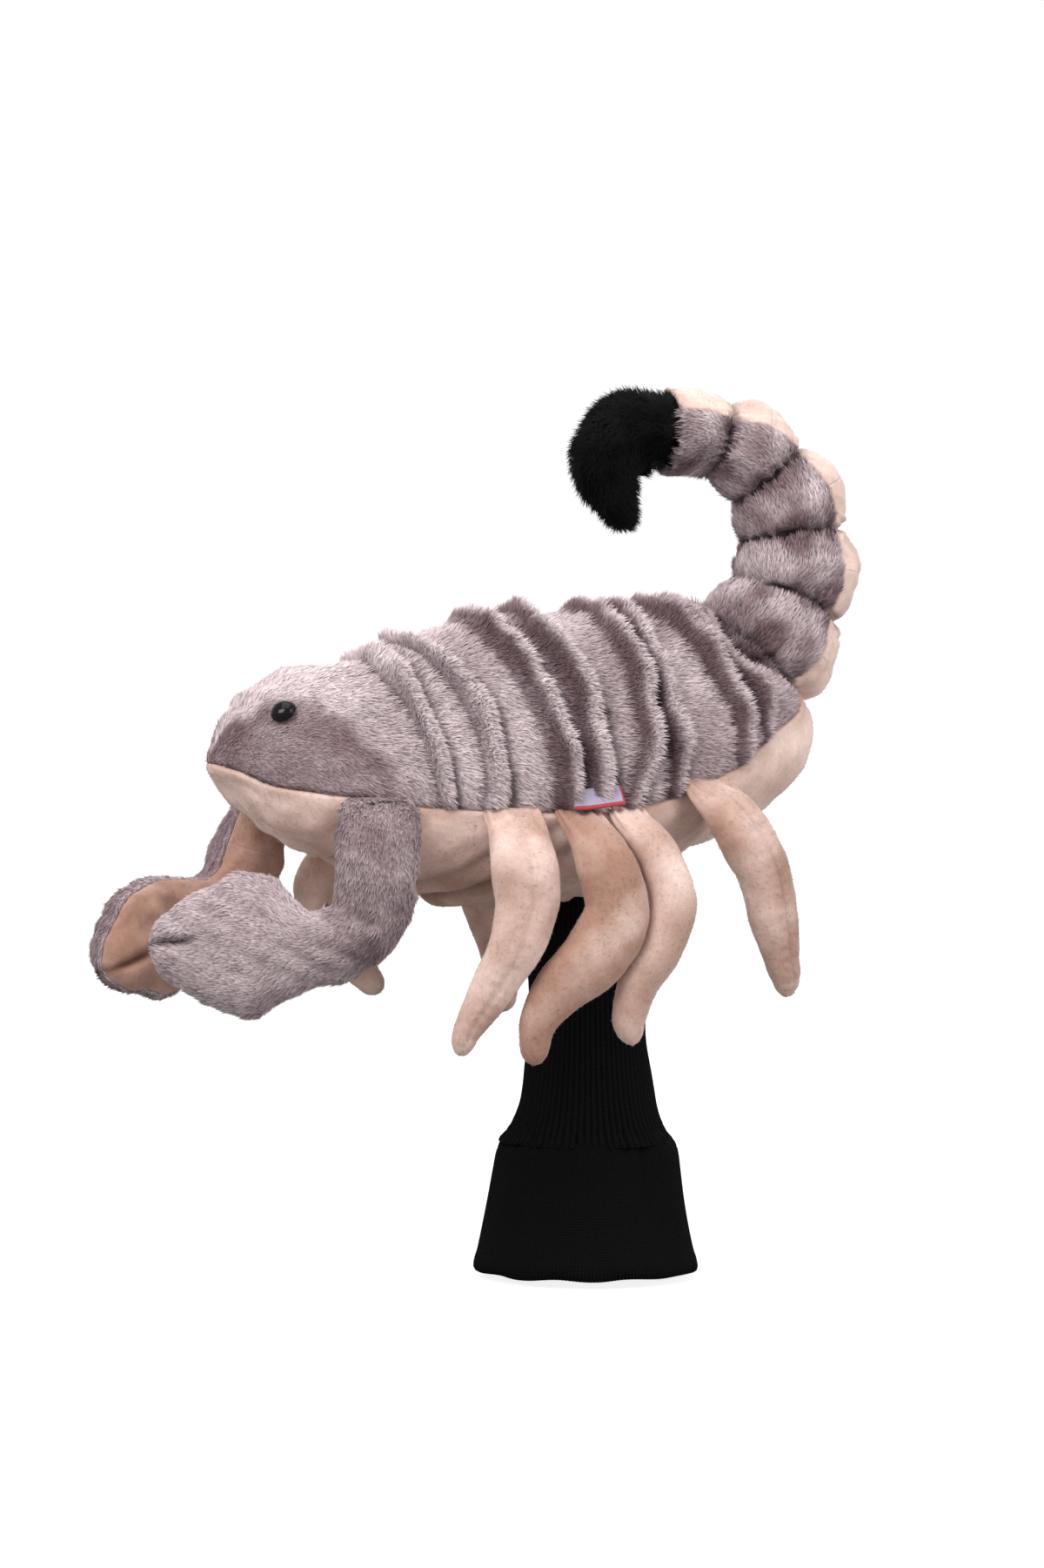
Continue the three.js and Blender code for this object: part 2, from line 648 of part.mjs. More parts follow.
function addTail() {
  const end = rows[rows.length - 1];
  const lean = radians(end.lean);
  const middle = (end.top - end.belly) / 2;
  let parent = new THREE.Group();
  parent.position.set(end.x - Math.sin(lean) * middle, 0, end.z + Math.cos(lean) * middle);
  parent.rotation.y = -lean;
  model.add(parent);
  let reach = creaseGap / 2;
  links.forEach((link, i) => {
    const group = new THREE.Group();
    group.name = `tail_${i + 1}_hinge`;
    group.position.set(reach, 0, 0);
    group.rotation.y = -radians(link.bend);
    const nextBend = i + 1 < links.length ? links[i + 1].bend : stinger.bend;
    const outer = linkRings(link, nextBend, 0);
    const inner = linkRings(link, nextBend, limbFabric);
    addPart(`tail_${i + 1}_back`, panel(outer, inner, ...greyBack), greyPlush, group);
    addPart(`tail_${i + 1}_belly`, panel(outer, inner, ...beigeStrip), beigePlush, group);
    const filling = loft(linkRings(link, nextBend, limbFabric + fillGap));
    addPart(`tail_${i + 1}_stuffing`, filling, fibreFill, group);
    parent.add(group);
    parent = group;
    reach = link.length;
  });
  const group = new THREE.Group();
  group.name = "stinger_hinge";
  group.position.set(reach, 0, 0);
  group.rotation.y = -radians(stinger.bend);
  const path = stinger.path.map(([along, forward]) => point(along, 0, forward));
  addPart("stinger_cover", limbSock(path, stinger.size, upright, false), blackPlush, group);
  addPart("stinger_stuffing", limbFilling(path, stinger.size, upright), fibreFill, group);
  parent.add(group);
}

function addLabel() {
  const row = rowAt(labelFromSock);
  const wall = row.width + labelThickness / 2 + sewnGap;
  const group = new THREE.Group();
  group.name = "label_hinge";
  group.position.set(labelFromSock, -wall, row.z + labelAboveSeam);
  group.rotation.x = -radians(labelTilt);
  const tab = new THREE.BoxGeometry(labelWidth, labelThickness, labelDrop);
  tab.translate(0, 0, -labelDrop / 2);
  addPart("side_label", tab, wovenLabel, group);
  model.add(group);
}

addBody();
addHead();
addSock();
arms.forEach(addArm);
legs.forEach(addLeg);
addTail();
addLabel();

export default model;
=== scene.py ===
import json

import bpy
import mathutils
import numpy as np
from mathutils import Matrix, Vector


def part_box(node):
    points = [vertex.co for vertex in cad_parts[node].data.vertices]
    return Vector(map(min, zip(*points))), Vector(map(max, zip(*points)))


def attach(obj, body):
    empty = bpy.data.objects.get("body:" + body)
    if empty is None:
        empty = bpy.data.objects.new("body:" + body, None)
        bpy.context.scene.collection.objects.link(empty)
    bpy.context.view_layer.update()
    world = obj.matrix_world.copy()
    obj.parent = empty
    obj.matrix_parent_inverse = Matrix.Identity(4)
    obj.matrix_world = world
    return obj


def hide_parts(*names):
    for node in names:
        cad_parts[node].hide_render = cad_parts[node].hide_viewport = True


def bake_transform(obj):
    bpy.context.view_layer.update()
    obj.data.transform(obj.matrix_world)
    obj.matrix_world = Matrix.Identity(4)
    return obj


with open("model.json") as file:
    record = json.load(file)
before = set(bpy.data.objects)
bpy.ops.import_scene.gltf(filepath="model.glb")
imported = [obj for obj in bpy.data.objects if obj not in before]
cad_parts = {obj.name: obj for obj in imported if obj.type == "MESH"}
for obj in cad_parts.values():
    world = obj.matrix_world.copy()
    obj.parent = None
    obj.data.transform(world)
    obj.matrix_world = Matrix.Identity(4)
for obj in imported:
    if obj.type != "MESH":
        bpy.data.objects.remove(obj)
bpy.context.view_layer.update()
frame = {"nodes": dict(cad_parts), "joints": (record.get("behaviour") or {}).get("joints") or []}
joints = {j["name"]: j for j in frame["joints"]}
print("frame loaded")

mm = 0.001
scene = bpy.context.scene


# Curves and noise. All shapes are worked out in millimetres.
def smoothCurve(knots, values, at):
    # a cubic between neighbouring points, whose slope at a point is the slope between its neighbours
    knots = np.asarray(knots, float)
    values = np.asarray(values, float)
    at = np.asarray(at, float)
    slope = np.gradient(values, knots, axis=0)
    n = np.clip(np.searchsorted(knots, at, side="right") - 1, 0, len(knots) - 2)
    span = knots[n + 1] - knots[n]
    t = np.clip((at - knots[n]) / span, 0, 1)
    if values.ndim > 1:
        t = t[..., None]
        span = span[..., None]
    start = values[n] * (1 + 2 * t) * (1 - t) ** 2 + values[n + 1] * t**2 * (3 - 2 * t)
    return start + span * (slope[n] * t * (1 - t) ** 2 - slope[n + 1] * t**2 * (1 - t))


def smoothStep(low, high, value):
    t = np.clip((value - low) / (high - low), 0, 1)
    return t * t * (3 - 2 * t)


def softNoise(points, size, seed, waves=14):
    # the sum of plane waves in random directions, about -1 to 1, with bumps about size across
    random = np.random.default_rng(seed)
    heading = random.normal(size=(waves, 3))
    rate = 2 * np.pi / size * random.uniform(0.5, 1.3, (waves, 1))
    heading *= rate / np.linalg.norm(heading, axis=1)[:, None]
    phase = random.uniform(0, 2 * np.pi, waves)
    total = sum(np.sin(points @ heading[k] + phase[k]) for k in range(waves))
    return total / np.sqrt(waves)


def unit(vectors):
    return vectors / np.maximum(np.linalg.norm(vectors, axis=-1, keepdims=True), 1e-9)


def hill(value, centre, width):
    # a bell curve: 1 at its centre and almost nothing at twice its width
    return np.exp(-(((value - centre) / width) ** 2))


def signedPower(value, power):
    # squares off a circle's sine or cosine when the power is under 1, and keeps its sign
    return np.sign(value) * np.abs(value) ** power


def lengthAlong(points):
    # the distance along a line of points, from its first
    return np.concatenate([[0], np.cumsum(np.linalg.norm(np.diff(points, axis=0), axis=1))])


def gridNormals(points, wraps=False):
    along = np.gradient(points, axis=0)
    if wraps:
        around = np.roll(points, -1, axis=1) - np.roll(points, 1, axis=1)
    else:
        around = np.gradient(points, axis=1)
    return unit(np.cross(along, around))


def outwardNormals(points, wraps=False):
    normals = gridNormals(points, wraps)
    middle = points.mean(axis=1, keepdims=True)
    return normals if np.sum(normals * (points - middle)) > 0 else -normals


def jointPlace(name):
    return np.array(joints[name]["pos_m"]) / mm


# Meshes
def gridQuads(rows, columns, wraps=False, keep=None):
    i, j = np.meshgrid(np.arange(rows - 1), np.arange(columns if wraps else columns - 1), indexing="ij")
    beside = (j + 1) % columns
    here, ahead = i * columns, (i + 1) * columns
    quads = np.stack([here + j, ahead + j, ahead + beside, here + beside], -1)
    quads = quads.reshape(-1, 4)
    return quads if keep is None else quads[keep.ravel()]


def buildMesh(name, points, faces, material, values=None, places=None, smooth=True):
    # faces is a list of arrays of corner numbers, and places gives each corner its spot on the baking sheet
    mesh = bpy.data.meshes.new(name)
    corners = np.concatenate([f.ravel() for f in faces]).astype(np.int32)
    sides = np.concatenate([np.full(len(f), f.shape[1]) for f in faces])
    starts = np.concatenate([[0], np.cumsum(sides)[:-1]]).astype(np.int32)
    mesh.vertices.add(len(points))
    mesh.vertices.foreach_set("co", (np.asarray(points) * mm).astype(np.float32).ravel())
    mesh.loops.add(len(corners))
    mesh.loops.foreach_set("vertex_index", corners)
    mesh.polygons.add(len(sides))
    mesh.polygons.foreach_set("loop_start", starts)
    mesh.polygons.foreach_set("use_smooth", np.full(len(sides), smooth))
    mesh.update(calc_edges=True)
    for key, value in (values or {}).items():
        layer = mesh.attributes.new(key, "FLOAT", "POINT")
        layer.data.foreach_set("value", np.asarray(value, np.float32).ravel())
    if places is not None:
        sheet = mesh.uv_layers.new(name="OFBake")
        sheet.data.foreach_set("uv", places.astype(np.float32).ravel())
    mesh.materials.append(material)
    piece = bpy.data.objects.new(name, mesh)
    scene.collection.objects.link(piece)
    return piece


def openEdges(faces):
    # the edges that only one face has, in the direction that it runs them
    a = faces.ravel()
    b = np.roll(faces, -1, axis=1).ravel()
    size = faces.max() + 1
    single = ~np.isin(a * size + b, b * size + a)
    return a[single], b[single]


def clothPanel(name, outer, thickness, material, values=None, keep=None, wraps=False):
    # cloth: an outer face, an inner face set back by its thickness, and a rim round every open edge
    rows, columns = outer.shape[:2]
    normals = outwardNormals(outer, wraps)
    inner = outer - normals * thickness
    faces = gridQuads(rows, columns, wraps, keep)
    if np.sum(gridNormals(outer, wraps) * normals) < 0:
        faces = faces[:, ::-1]
    count = rows * columns
    a, b = openEdges(faces)
    rim = np.stack([b, a, a + count, b + count], 1)
    u, v = np.meshgrid(np.linspace(0.01, 0.99, rows), np.linspace(0.01, 0.74, columns), indexing="ij")
    spot = np.stack([u, v], -1).reshape(-1, 2)
    under = spot * [1, 0.28] + [0, 0.76]
    step = np.linspace(0.01, 0.98, len(a))
    edge = np.stack([np.stack([step + dx, np.full(len(a), y)], 1) for dx, y in
                     [(0.005, 0.985), (0, 0.985), (0, 0.995), (0.005, 0.995)]], 1)
    places = np.concatenate([some.reshape(-1, 2) for some in (spot[faces], under[faces[:, ::-1]], edge)])
    points = np.concatenate([outer.reshape(-1, 3), inner.reshape(-1, 3)])
    used = np.zeros(2 * count, bool)
    used[faces.ravel()] = True
    used[faces.ravel() + count] = True
    number = np.cumsum(used) - 1
    both = {k: np.tile(np.asarray(x).ravel(), 2)[used] for k, x in (values or {}).items()}
    parts = [number[faces], number[faces[:, ::-1] + count], number[rim]]
    return buildMesh(name, points[used], [np.concatenate(parts)], material, both, places)


def stuffedTube(name, rings, material, values=None):
    # a closed body through rings, with a point at each end
    rows, columns = rings.shape[:2]
    faces = gridQuads(rows, columns, True)
    count = rows * columns
    first = np.arange(columns)
    last = first + (rows - 1) * columns
    ends = rings[[0, -1]].mean(axis=1)
    startCap = np.stack([np.full(columns, count), first, np.roll(first, -1)], 1)
    endCap = np.stack([np.full(columns, count + 1), np.roll(last, -1), last], 1)
    points = np.concatenate([rings.reshape(-1, 3), ends])
    if np.sum(gridNormals(rings, True) * outwardNormals(rings, True)) < 0:
        faces, startCap, endCap = faces[:, ::-1], startCap[:, ::-1], endCap[:, ::-1]
    u = np.linspace(0.02, 0.98, rows).repeat(columns)
    v = np.tile(np.linspace(0.02, 0.98, columns + 1)[:-1], rows)
    spot = np.stack([u, v], 1)
    places = spot[faces]
    wrapped = places[..., 1].max(axis=1) - places[..., 1].min(axis=1) > 0.5
    high = places[..., 1]
    high[wrapped] = np.where(high[wrapped] < 0.5, 0.99, high[wrapped])
    capPlaces = np.concatenate([np.full((columns * 3, 2), 0.005), np.full((columns * 3, 2), 0.995)])
    capPlaces += np.tile([[0, 0], [0.004, 0], [0, 0.004]], (2 * columns, 1))
    each = {}
    for key, value in (values or {}).items():
        value = np.asarray(value)
        each[key] = np.concatenate([value.ravel(), [value[0].mean(), value[-1].mean()]])
    places = np.concatenate([places.reshape(-1, 2), capPlaces])
    return buildMesh(name, points, [faces, np.concatenate([startCap, endCap])], material, each, places)


# Tufts: the most in one piece, how deep they root, how far a crest stands them up and lengthens them, and how
# much of a tuft's own direction shows in its shading
tufting = {"most": 48000, "root": 0.25, "crestLift": 0.4, "crestLong": 0.1, "ownShade": 0.25}


def growPile(name, skin, normals, lie, values, look, material, seed, keep=None, wraps=False):
    # tufts of pile: slim three-sided spikes, spread by the skin's area, that lean along the lie of the nap
    random = np.random.default_rng(seed)
    rows, columns = skin.shape[:2]
    corners = gridQuads(rows, columns, wraps, keep)
    flat = skin.reshape(-1, 3)
    a, b, c, d = (flat[corners[:, k]] for k in range(4))
    area = np.linalg.norm(np.cross(c - a, d - b), axis=1) / 2
    count = int(area.sum() * look["perSquare"])
    cell = corners[random.choice(len(area), count, p=area / area.sum())]
    u, v = random.random((2, count, 1))

    def pick(grid):
        grid = grid.reshape(rows * columns, -1)
        low = grid[cell[:, 0]] * (1 - u) + grid[cell[:, 1]] * u
        high = grid[cell[:, 3]] * (1 - u) + grid[cell[:, 2]] * u
        return low * (1 - v) + high * v

    up = unit(pick(normals))
    root = pick(skin) - up * tufting["root"]
    stray = random.normal(size=(count, 3)) * look["stray"]
    stray += look["clump"] * np.stack([softNoise(root, look["clumpSize"], seed + k) for k in (7, 8, 9)], 1)
    flow = unit(pick(lie))
    flow = unit(flow - up * np.sum(flow * up, axis=1, keepdims=True) + stray)
    flow = unit(flow - up * np.sum(flow * up, axis=1, keepdims=True))
    lean = np.radians(look["lean"] + random.normal(size=(count, 1)) * look["leanStray"])
    stand = pick(values["stand"]) if "stand" in values else 0
    lean = np.clip(lean - tufting["crestLift"] * stand, 0.1, 1.45)
    axis = up * np.cos(lean) + flow * np.sin(lean)
    long = look["long"] * random.uniform(0.65, 1.2, (count, 1)) * (1 + tufting["crestLong"] * stand)
    side = unit(np.cross(axis, up))
    over = np.cross(side, axis)
    wide = look["wide"] * random.uniform(0.7, 1.3, (count, 1)) / 2
    tip = root + axis * long
    points = np.stack([root + side * wide, root - side * wide, root + over * wide * 1.2, tip], 1)
    mark = random.random(count)
    shades = {key: pick(np.asarray(value))[:, 0] for key, value in values.items()}
    pieces = []
    for n, start in enumerate(range(0, count, tufting["most"])):
        part = slice(start, start + tufting["most"])
        some = points[part].reshape(-1, 3)
        many = len(some) // 4
        base = np.arange(many)[:, None] * 4
        faces = (base[..., None] + np.array([[0, 1, 3], [1, 2, 3], [2, 0, 3], [0, 2, 1]])).reshape(-1, 3)
        across = int(np.ceil(np.sqrt(many)))
        corner = np.stack([np.arange(many) % across, np.arange(many) // across], 1) / across
        spot = np.array([[0.1, 0.1], [0.5, 0.9], [0.9, 0.1]]) / across
        places = (corner[:, None, None] + np.tile(spot, (4, 1, 1))).reshape(-1, 2)
        marks = {"tip": np.tile([0, 0, 0, 1], many), "tuft": mark[part].repeat(4)}
        marks.update({key: value[part].repeat(4) for key, value in shades.items()})
        piece = buildMesh(f"{name}_{n + 1}", some, [faces], material, marks, places)
        facing = unit(up[part] + tufting["ownShade"] * axis[part])
        piece.data.normals_split_custom_set_from_vertices(facing.repeat(4, axis=0))
        pieces.append(piece)
    return pieces


# Materials
def newGroup(name, inputs, outputs):
    group = bpy.data.node_groups.new(name, "ShaderNodeTree")
    for label, kind, value in inputs:
        socket = group.interface.new_socket(label, in_out="INPUT", socket_type=kind)
        socket.default_value = value
    for label, kind in outputs:
        group.interface.new_socket(label, in_out="OUTPUT", socket_type=kind)
    start = group.nodes.new("NodeGroupInput")
    end = group.nodes.new("NodeGroupOutput")
    return group, start.outputs, end.inputs


def feed(tree, socket, value):
    # links a node's output to a socket, or sets the socket to a plain value
    if hasattr(value, "is_output"):
        tree.links.new(value, socket)
    else:
        socket.default_value = value


def addNode(tree, kind, settings=None, **wired):
    # makes a node, sets its properties and feeds its inputs, named by label or by number, as n0
    node = tree.nodes.new(kind)
    for key, value in (settings or {}).items():
        setattr(node, key, value)
    for key, value in wired.items():
        numbered = key[0] == "n" and key[1:].isdigit()
        feed(tree, node.inputs[int(key[1:]) if numbered else key], value)
    return node


def maths(tree, operation, a, b=0.0, c=0.0, clamp=False):
    settings = {"operation": operation, "use_clamp": clamp}
    return addNode(tree, "ShaderNodeMath", settings, n0=a, n1=b, n2=c).outputs[0]


def mixColours(tree, share, a, b, how="MIX"):
    settings = {"data_type": "RGBA", "blend_type": how}
    return addNode(tree, "ShaderNodeMix", settings, n0=share, n6=a, n7=b).outputs[2]


def attribute(tree, name):
    return addNode(tree, "ShaderNodeAttribute", {"attribute_name": name}).outputs["Fac"]


def noise(tree, where, scale, detail=3.0, rough=0.55):
    wired = {"Vector": where, "Scale": scale, "Detail": detail, "Roughness": rough}
    return addNode(tree, "ShaderNodeTexNoise", **wired).outputs[0]


def objectPlace(tree):
    return addNode(tree, "ShaderNodeTexCoord").outputs["Object"]


def newMaterial(name, rough, specular=0.5):
    material = bpy.data.materials.new(name)
    material.use_nodes = True
    tree = material.node_tree
    shader = tree.nodes["Principled BSDF"]
    shader.inputs["Roughness"].default_value = rough
    shader.inputs["Specular IOR Level"].default_value = specular
    return material, tree, shader


def addBump(tree, shader, height, strength, depth):
    bump = addNode(tree, "ShaderNodeBump", Strength=strength, Distance=depth, Height=height)
    tree.links.new(bump.outputs[0], shader.inputs["Normal"])


def makeNapGroup():
    # brushed nap: light and dark patches, streaks, painted shade at the roots with brighter tips, and painted
    # crease shade from the fold attribute
    group, given, out = newGroup(
        "brushedNap",
        [
            ("Light", "NodeSocketColor", (0.5, 0.5, 0.5, 1)),
            ("Dark", "NodeSocketColor", (0.2, 0.2, 0.2, 1)),
            ("Patch Scale", "NodeSocketFloat", 60.0),
            ("Patch Depth", "NodeSocketFloat", 0.5),
            ("Root Shade", "NodeSocketFloat", 0.55),
            ("Tuft Spread", "NodeSocketFloat", 0.25),
            ("Speckle", "NodeSocketFloat", 0.5),
        ],
        [("Color", "NodeSocketColor"), ("Height", "NodeSocketFloat")],
    )
    where = objectPlace(group)
    patch = noise(group, where, given["Patch Scale"], 3.0, 0.6)
    patch = maths(group, "SUBTRACT", patch, 0.5)
    patch = maths(group, "MULTIPLY", patch, given["Patch Depth"])
    lie = maths(group, "ADD", attribute(group, "nap"), patch, clamp=True)
    colour = mixColours(group, lie, given["Dark"], given["Light"])
    fine = noise(group, where, 900.0, 2.0, 0.5)
    tuft = maths(group, "SUBTRACT", attribute(group, "tuft"), 0.5)
    tuft = maths(group, "MULTIPLY_ADD", tuft, given["Tuft Spread"], 1.0)
    # painted shade deep in the pile: darker at the roots, brighter at the tips
    tip = maths(group, "POWER", attribute(group, "tip"), 0.7)
    span = maths(group, "SUBTRACT", 1.08, given["Root Shade"])
    shade = maths(group, "MULTIPLY_ADD", tip, span, given["Root Shade"])
    shade = maths(group, "MULTIPLY", shade, tuft)
    speckle = noise(group, where, 420.0, 2.0, 0.6)
    speckle = maths(group, "SUBTRACT", speckle, 0.5)
    shade = maths(group, "MULTIPLY", shade, maths(group, "MULTIPLY_ADD", speckle, given["Speckle"], 1.0))
    # the fold attribute multiplies in painted shade in creases, gutters and slits
    shade = maths(group, "MULTIPLY", shade, attribute(group, "fold"))
    shade = addNode(group, "ShaderNodeCombineColor", None, n0=shade, n1=shade, n2=shade).outputs[0]
    colour = mixColours(group, 1.0, colour, shade, "MULTIPLY")
    group.links.new(colour, out["Color"])
    group.links.new(fine, out["Height"])
    return group


napGroup = makeNapGroup()


def plushMaterial(name, look):
    material, tree, shader = newMaterial(name, look["rough"], look["specular"])
    nap = tree.nodes.new("ShaderNodeGroup")
    nap.node_tree = napGroup
    nap.inputs["Light"].default_value = (*look["light"], 1)
    nap.inputs["Dark"].default_value = (*look["dark"], 1)
    for label in ("Patch Scale", "Patch Depth", "Root Shade", "Tuft Spread", "Speckle"):
        nap.inputs[label].default_value = look[label[0].lower() + label[1:].replace(" ", "")]
    addBump(tree, shader, nap.outputs["Height"], look["bump"], 0.0004)
    tree.links.new(nap.outputs["Color"], shader.inputs["Base Color"])
    shader.inputs["Sheen Weight"].default_value = look["sheen"]
    shader.inputs["Sheen Roughness"].default_value = 0.45
    shader.inputs["Sheen Tint"].default_value = (*look["sheenTint"], 1)
    return material


greyPlush = plushMaterial("grey_plush", {
    "light": (0.93, 0.77, 0.79), "dark": (0.3, 0.195, 0.21), "patchScale": 34.0, "patchDepth": 0.14,
    "rootShade": 0.26, "tuftSpread": 0.6, "speckle": 0.4, "bump": 0.2, "rough": 0.9, "specular": 0.1,
    "sheen": 0.1, "sheenTint": (0.9, 0.82, 0.83),
})
beigePlush = plushMaterial("beige_plush", {
    "light": (0.8, 0.6, 0.53), "dark": (0.36, 0.2, 0.145), "patchScale": 42.0, "patchDepth": 0.14,
    "rootShade": 0.88, "tuftSpread": 0.2, "speckle": 0.34, "bump": 0.3, "rough": 0.85, "specular": 0.2,
    "sheen": 0.3, "sheenTint": (1.0, 0.9, 0.85),
})
blackPlush = plushMaterial("black_plush", {
    "light": (0.012, 0.0115, 0.012), "dark": (0.004, 0.004, 0.004), "patchScale": 60.0, "patchDepth": 0.6,
    "rootShade": 0.3, "tuftSpread": 0.7, "speckle": 0.8, "bump": 0.3, "rough": 0.8, "specular": 0.12,
    "sheen": 0.04, "sheenTint": (0.5, 0.5, 0.5),
})


def makeKnitGroup():
    # knitted stitches: rows of small v shapes, from a wale count round the sock and a course count along it
    group, given, out = newGroup(
        "knitStitches",
        [("Slant", "NodeSocketFloat", 0.45)],
        [("Height", "NodeSocketFloat"), ("Shade", "NodeSocketFloat")],
    )
    wale = attribute(group, "wale")
    side = maths(group, "PINGPONG", wale, 0.5)
    row = maths(group, "MULTIPLY_ADD", side, given["Slant"], attribute(group, "course"))
    wave = maths(group, "SINE", maths(group, "MULTIPLY", row, 2 * np.pi))
    across = maths(group, "SINE", maths(group, "MULTIPLY", side, 2 * np.pi))
    height = maths(group, "MULTIPLY_ADD", wave, 0.35, maths(group, "MULTIPLY", across, 0.5))
    group.links.new(height, out["Height"])
    # Shade is painted shade: darker in the stitches' valleys, lighter on their tops
    group.links.new(maths(group, "MULTIPLY_ADD", height, 0.3, 0.85), out["Shade"])
    return group


def knitMaterial():
    material, tree, shader = newMaterial("black_knit", 0.9, 0.08)
    stitches = tree.nodes.new("ShaderNodeGroup")
    stitches.node_tree = makeKnitGroup()
    where = objectPlace(tree)
    lint = noise(tree, where, 1400.0, 2.0)
    lint = maths(tree, "MULTIPLY_ADD", lint, 0.9, 0.45)
    shade = maths(tree, "MULTIPLY", stitches.outputs["Shade"], lint)
    colour = mixColours(tree, shade, (0.0006, 0.0006, 0.0006, 1), (0.0058, 0.0056, 0.006, 1))
    addBump(tree, shader, stitches.outputs["Height"], 0.9, 0.0004)
    tree.links.new(colour, shader.inputs["Base Color"])
    return material


def plainMaterial(name, light, dark, scale, rough, strength=0.2, specular=0.5):
    # a mottled surface of two near colours with a fine bump
    material, tree, shader = newMaterial(name, rough, specular)
    mottle = noise(tree, objectPlace(tree), scale)
    tree.links.new(mixColours(tree, mottle, (*dark, 1), (*light, 1)), shader.inputs["Base Color"])
    addBump(tree, shader, mottle, strength, 0.0003)
    return material


blackKnit = knitMaterial()
eyeDark = (0.003, 0.003, 0.003)
eyePlastic = plainMaterial("eye_plastic", (0.004, 0.004, 0.0045), eyeDark, 300.0, 0.07, 0.02, 0.25)
washerPlastic = plainMaterial("washer_plastic", (0.8, 0.8, 0.77), (0.74, 0.74, 0.7), 250.0, 0.4)
fibreFill = plainMaterial("fibre_fill", (0.92, 0.91, 0.87), (0.75, 0.74, 0.7), 400.0, 1.0, 0.8, 0.1)
innerCloth = plainMaterial("inner_cloth", (0.02, 0.02, 0.022), (0.008, 0.008, 0.009), 1200.0, 0.75, 0.5, 0.3)
print("materials made")


# Body: sections from nose to tail. Each row is the seam's place behind the sock's line, or ahead if negative,
# the seam's rise, the section's lean, and the back's height, the belly's depth and the half width.
body = {
    "seam": 196.0,
    "rows": [
        [-169.6, 20.2, 0, 0.5, 0.5, 0.5],
        [-169.0, 20, 0, 3.6, 3.0, 3.6],
        [-166.5, 19, 0, 9.8, 4.8, 9.5],
        [-160.6, 15.5, 0, 22.2, 6.6, 22.5],
        [-152.1, 11, 0, 37.4, 10.0, 34.0],
        [-138.6, 8.5, 0, 49.8, 17.2, 42.2],
        [-118.3, 6, 0, 56.5, 24.4, 49.0],
        [-94.6, 2.5, 0, 72.1, 31.2, 57.1],
        [-67.6, 1, 0, 83.0, 40.0, 62.6],
        [-40.6, 0, 0, 88.6, 41.2, 66.6],
        [-10.1, 1.5, 0, 89.0, 38.0, 68.0],
        [22.0, 10, 3, 82.0, 32.0, 63.2],
        [50.2, 22, 10, 72.1, 32.8, 53.7],
        [68.6, 34, 21, 61.4, 31.2, 44.2],
        [83.6, 43.5, 34, 56.1, 25.2, 36.0],
        [87.6, 49.6, 42, 51.8, 14.5, 29.0],
        [88.4, 50.6, 43, 43.0, 4.5, 21.5],
        [88.9, 51.4, 43, 36.0, 0.8, 15.0],
    ],
    "roundness": 0.92,
    "plush": 1.2,
    "seamRoll": 2.4,
}
noseEnd, headEnd = -169.55, -118.0
bodyRows = np.array(body["rows"])
rowPlace = lengthAlong(bodyRows[:, [0, 1, 3, 4, 5]])
finePlace = np.linspace(0, rowPlace[-1], 1200)
fineRows = smoothCurve(rowPlace, bodyRows, finePlace)


def bodySection(place):
    return np.stack([np.interp(place, finePlace, fineRows[:, k]) for k in range(6)], -1)


def placeAt(x):
    return np.interp(x, fineRows[:, 0], finePlace)


def bodySurface(place, angle):
    # an oval section leaning forwards: across is the cosine's power and height the sine's, in its own plane
    x, rise, lean, top, belly, width = np.moveaxis(bodySection(place), -1, 0)
    lean = np.radians(lean)
    across = signedPower(np.cos(angle), body["roundness"])
    high = signedPower(np.sin(angle), body["roundness"])
    reach = high * np.where(high >= 0, top, belly)
    height = body["seam"] + rise + np.cos(lean) * reach
    return np.stack([x - np.sin(lean) * reach, -across * width, height], -1)


def rollEdge(distance, radius):
    # how far a turned-in edge drops, a quarter circle over its last stretch
    inside = np.clip(radius - distance, 0, radius)
    return radius - np.sqrt(radius**2 - inside**2)


def gridDistance(points, axis, end):
    # distance along the grid lines from one edge, in millimetres
    step = np.linalg.norm(np.diff(points, axis=axis), axis=-1)
    grown = np.cumsum(step, axis=axis)
    pad = [(0, 0), (0, 0)]
    pad[axis] = (1, 0)
    grown = np.pad(grown, pad)
    return grown if end == 0 else np.take(grown, [-1], axis=axis) - grown


def crowd(count, share=0.45):
    # even steps from 0 to 1, drawn together towards both ends
    t = np.linspace(0, 1, count)
    return (1 - share) * t + share * (1 - np.cos(np.pi * t)) / 2
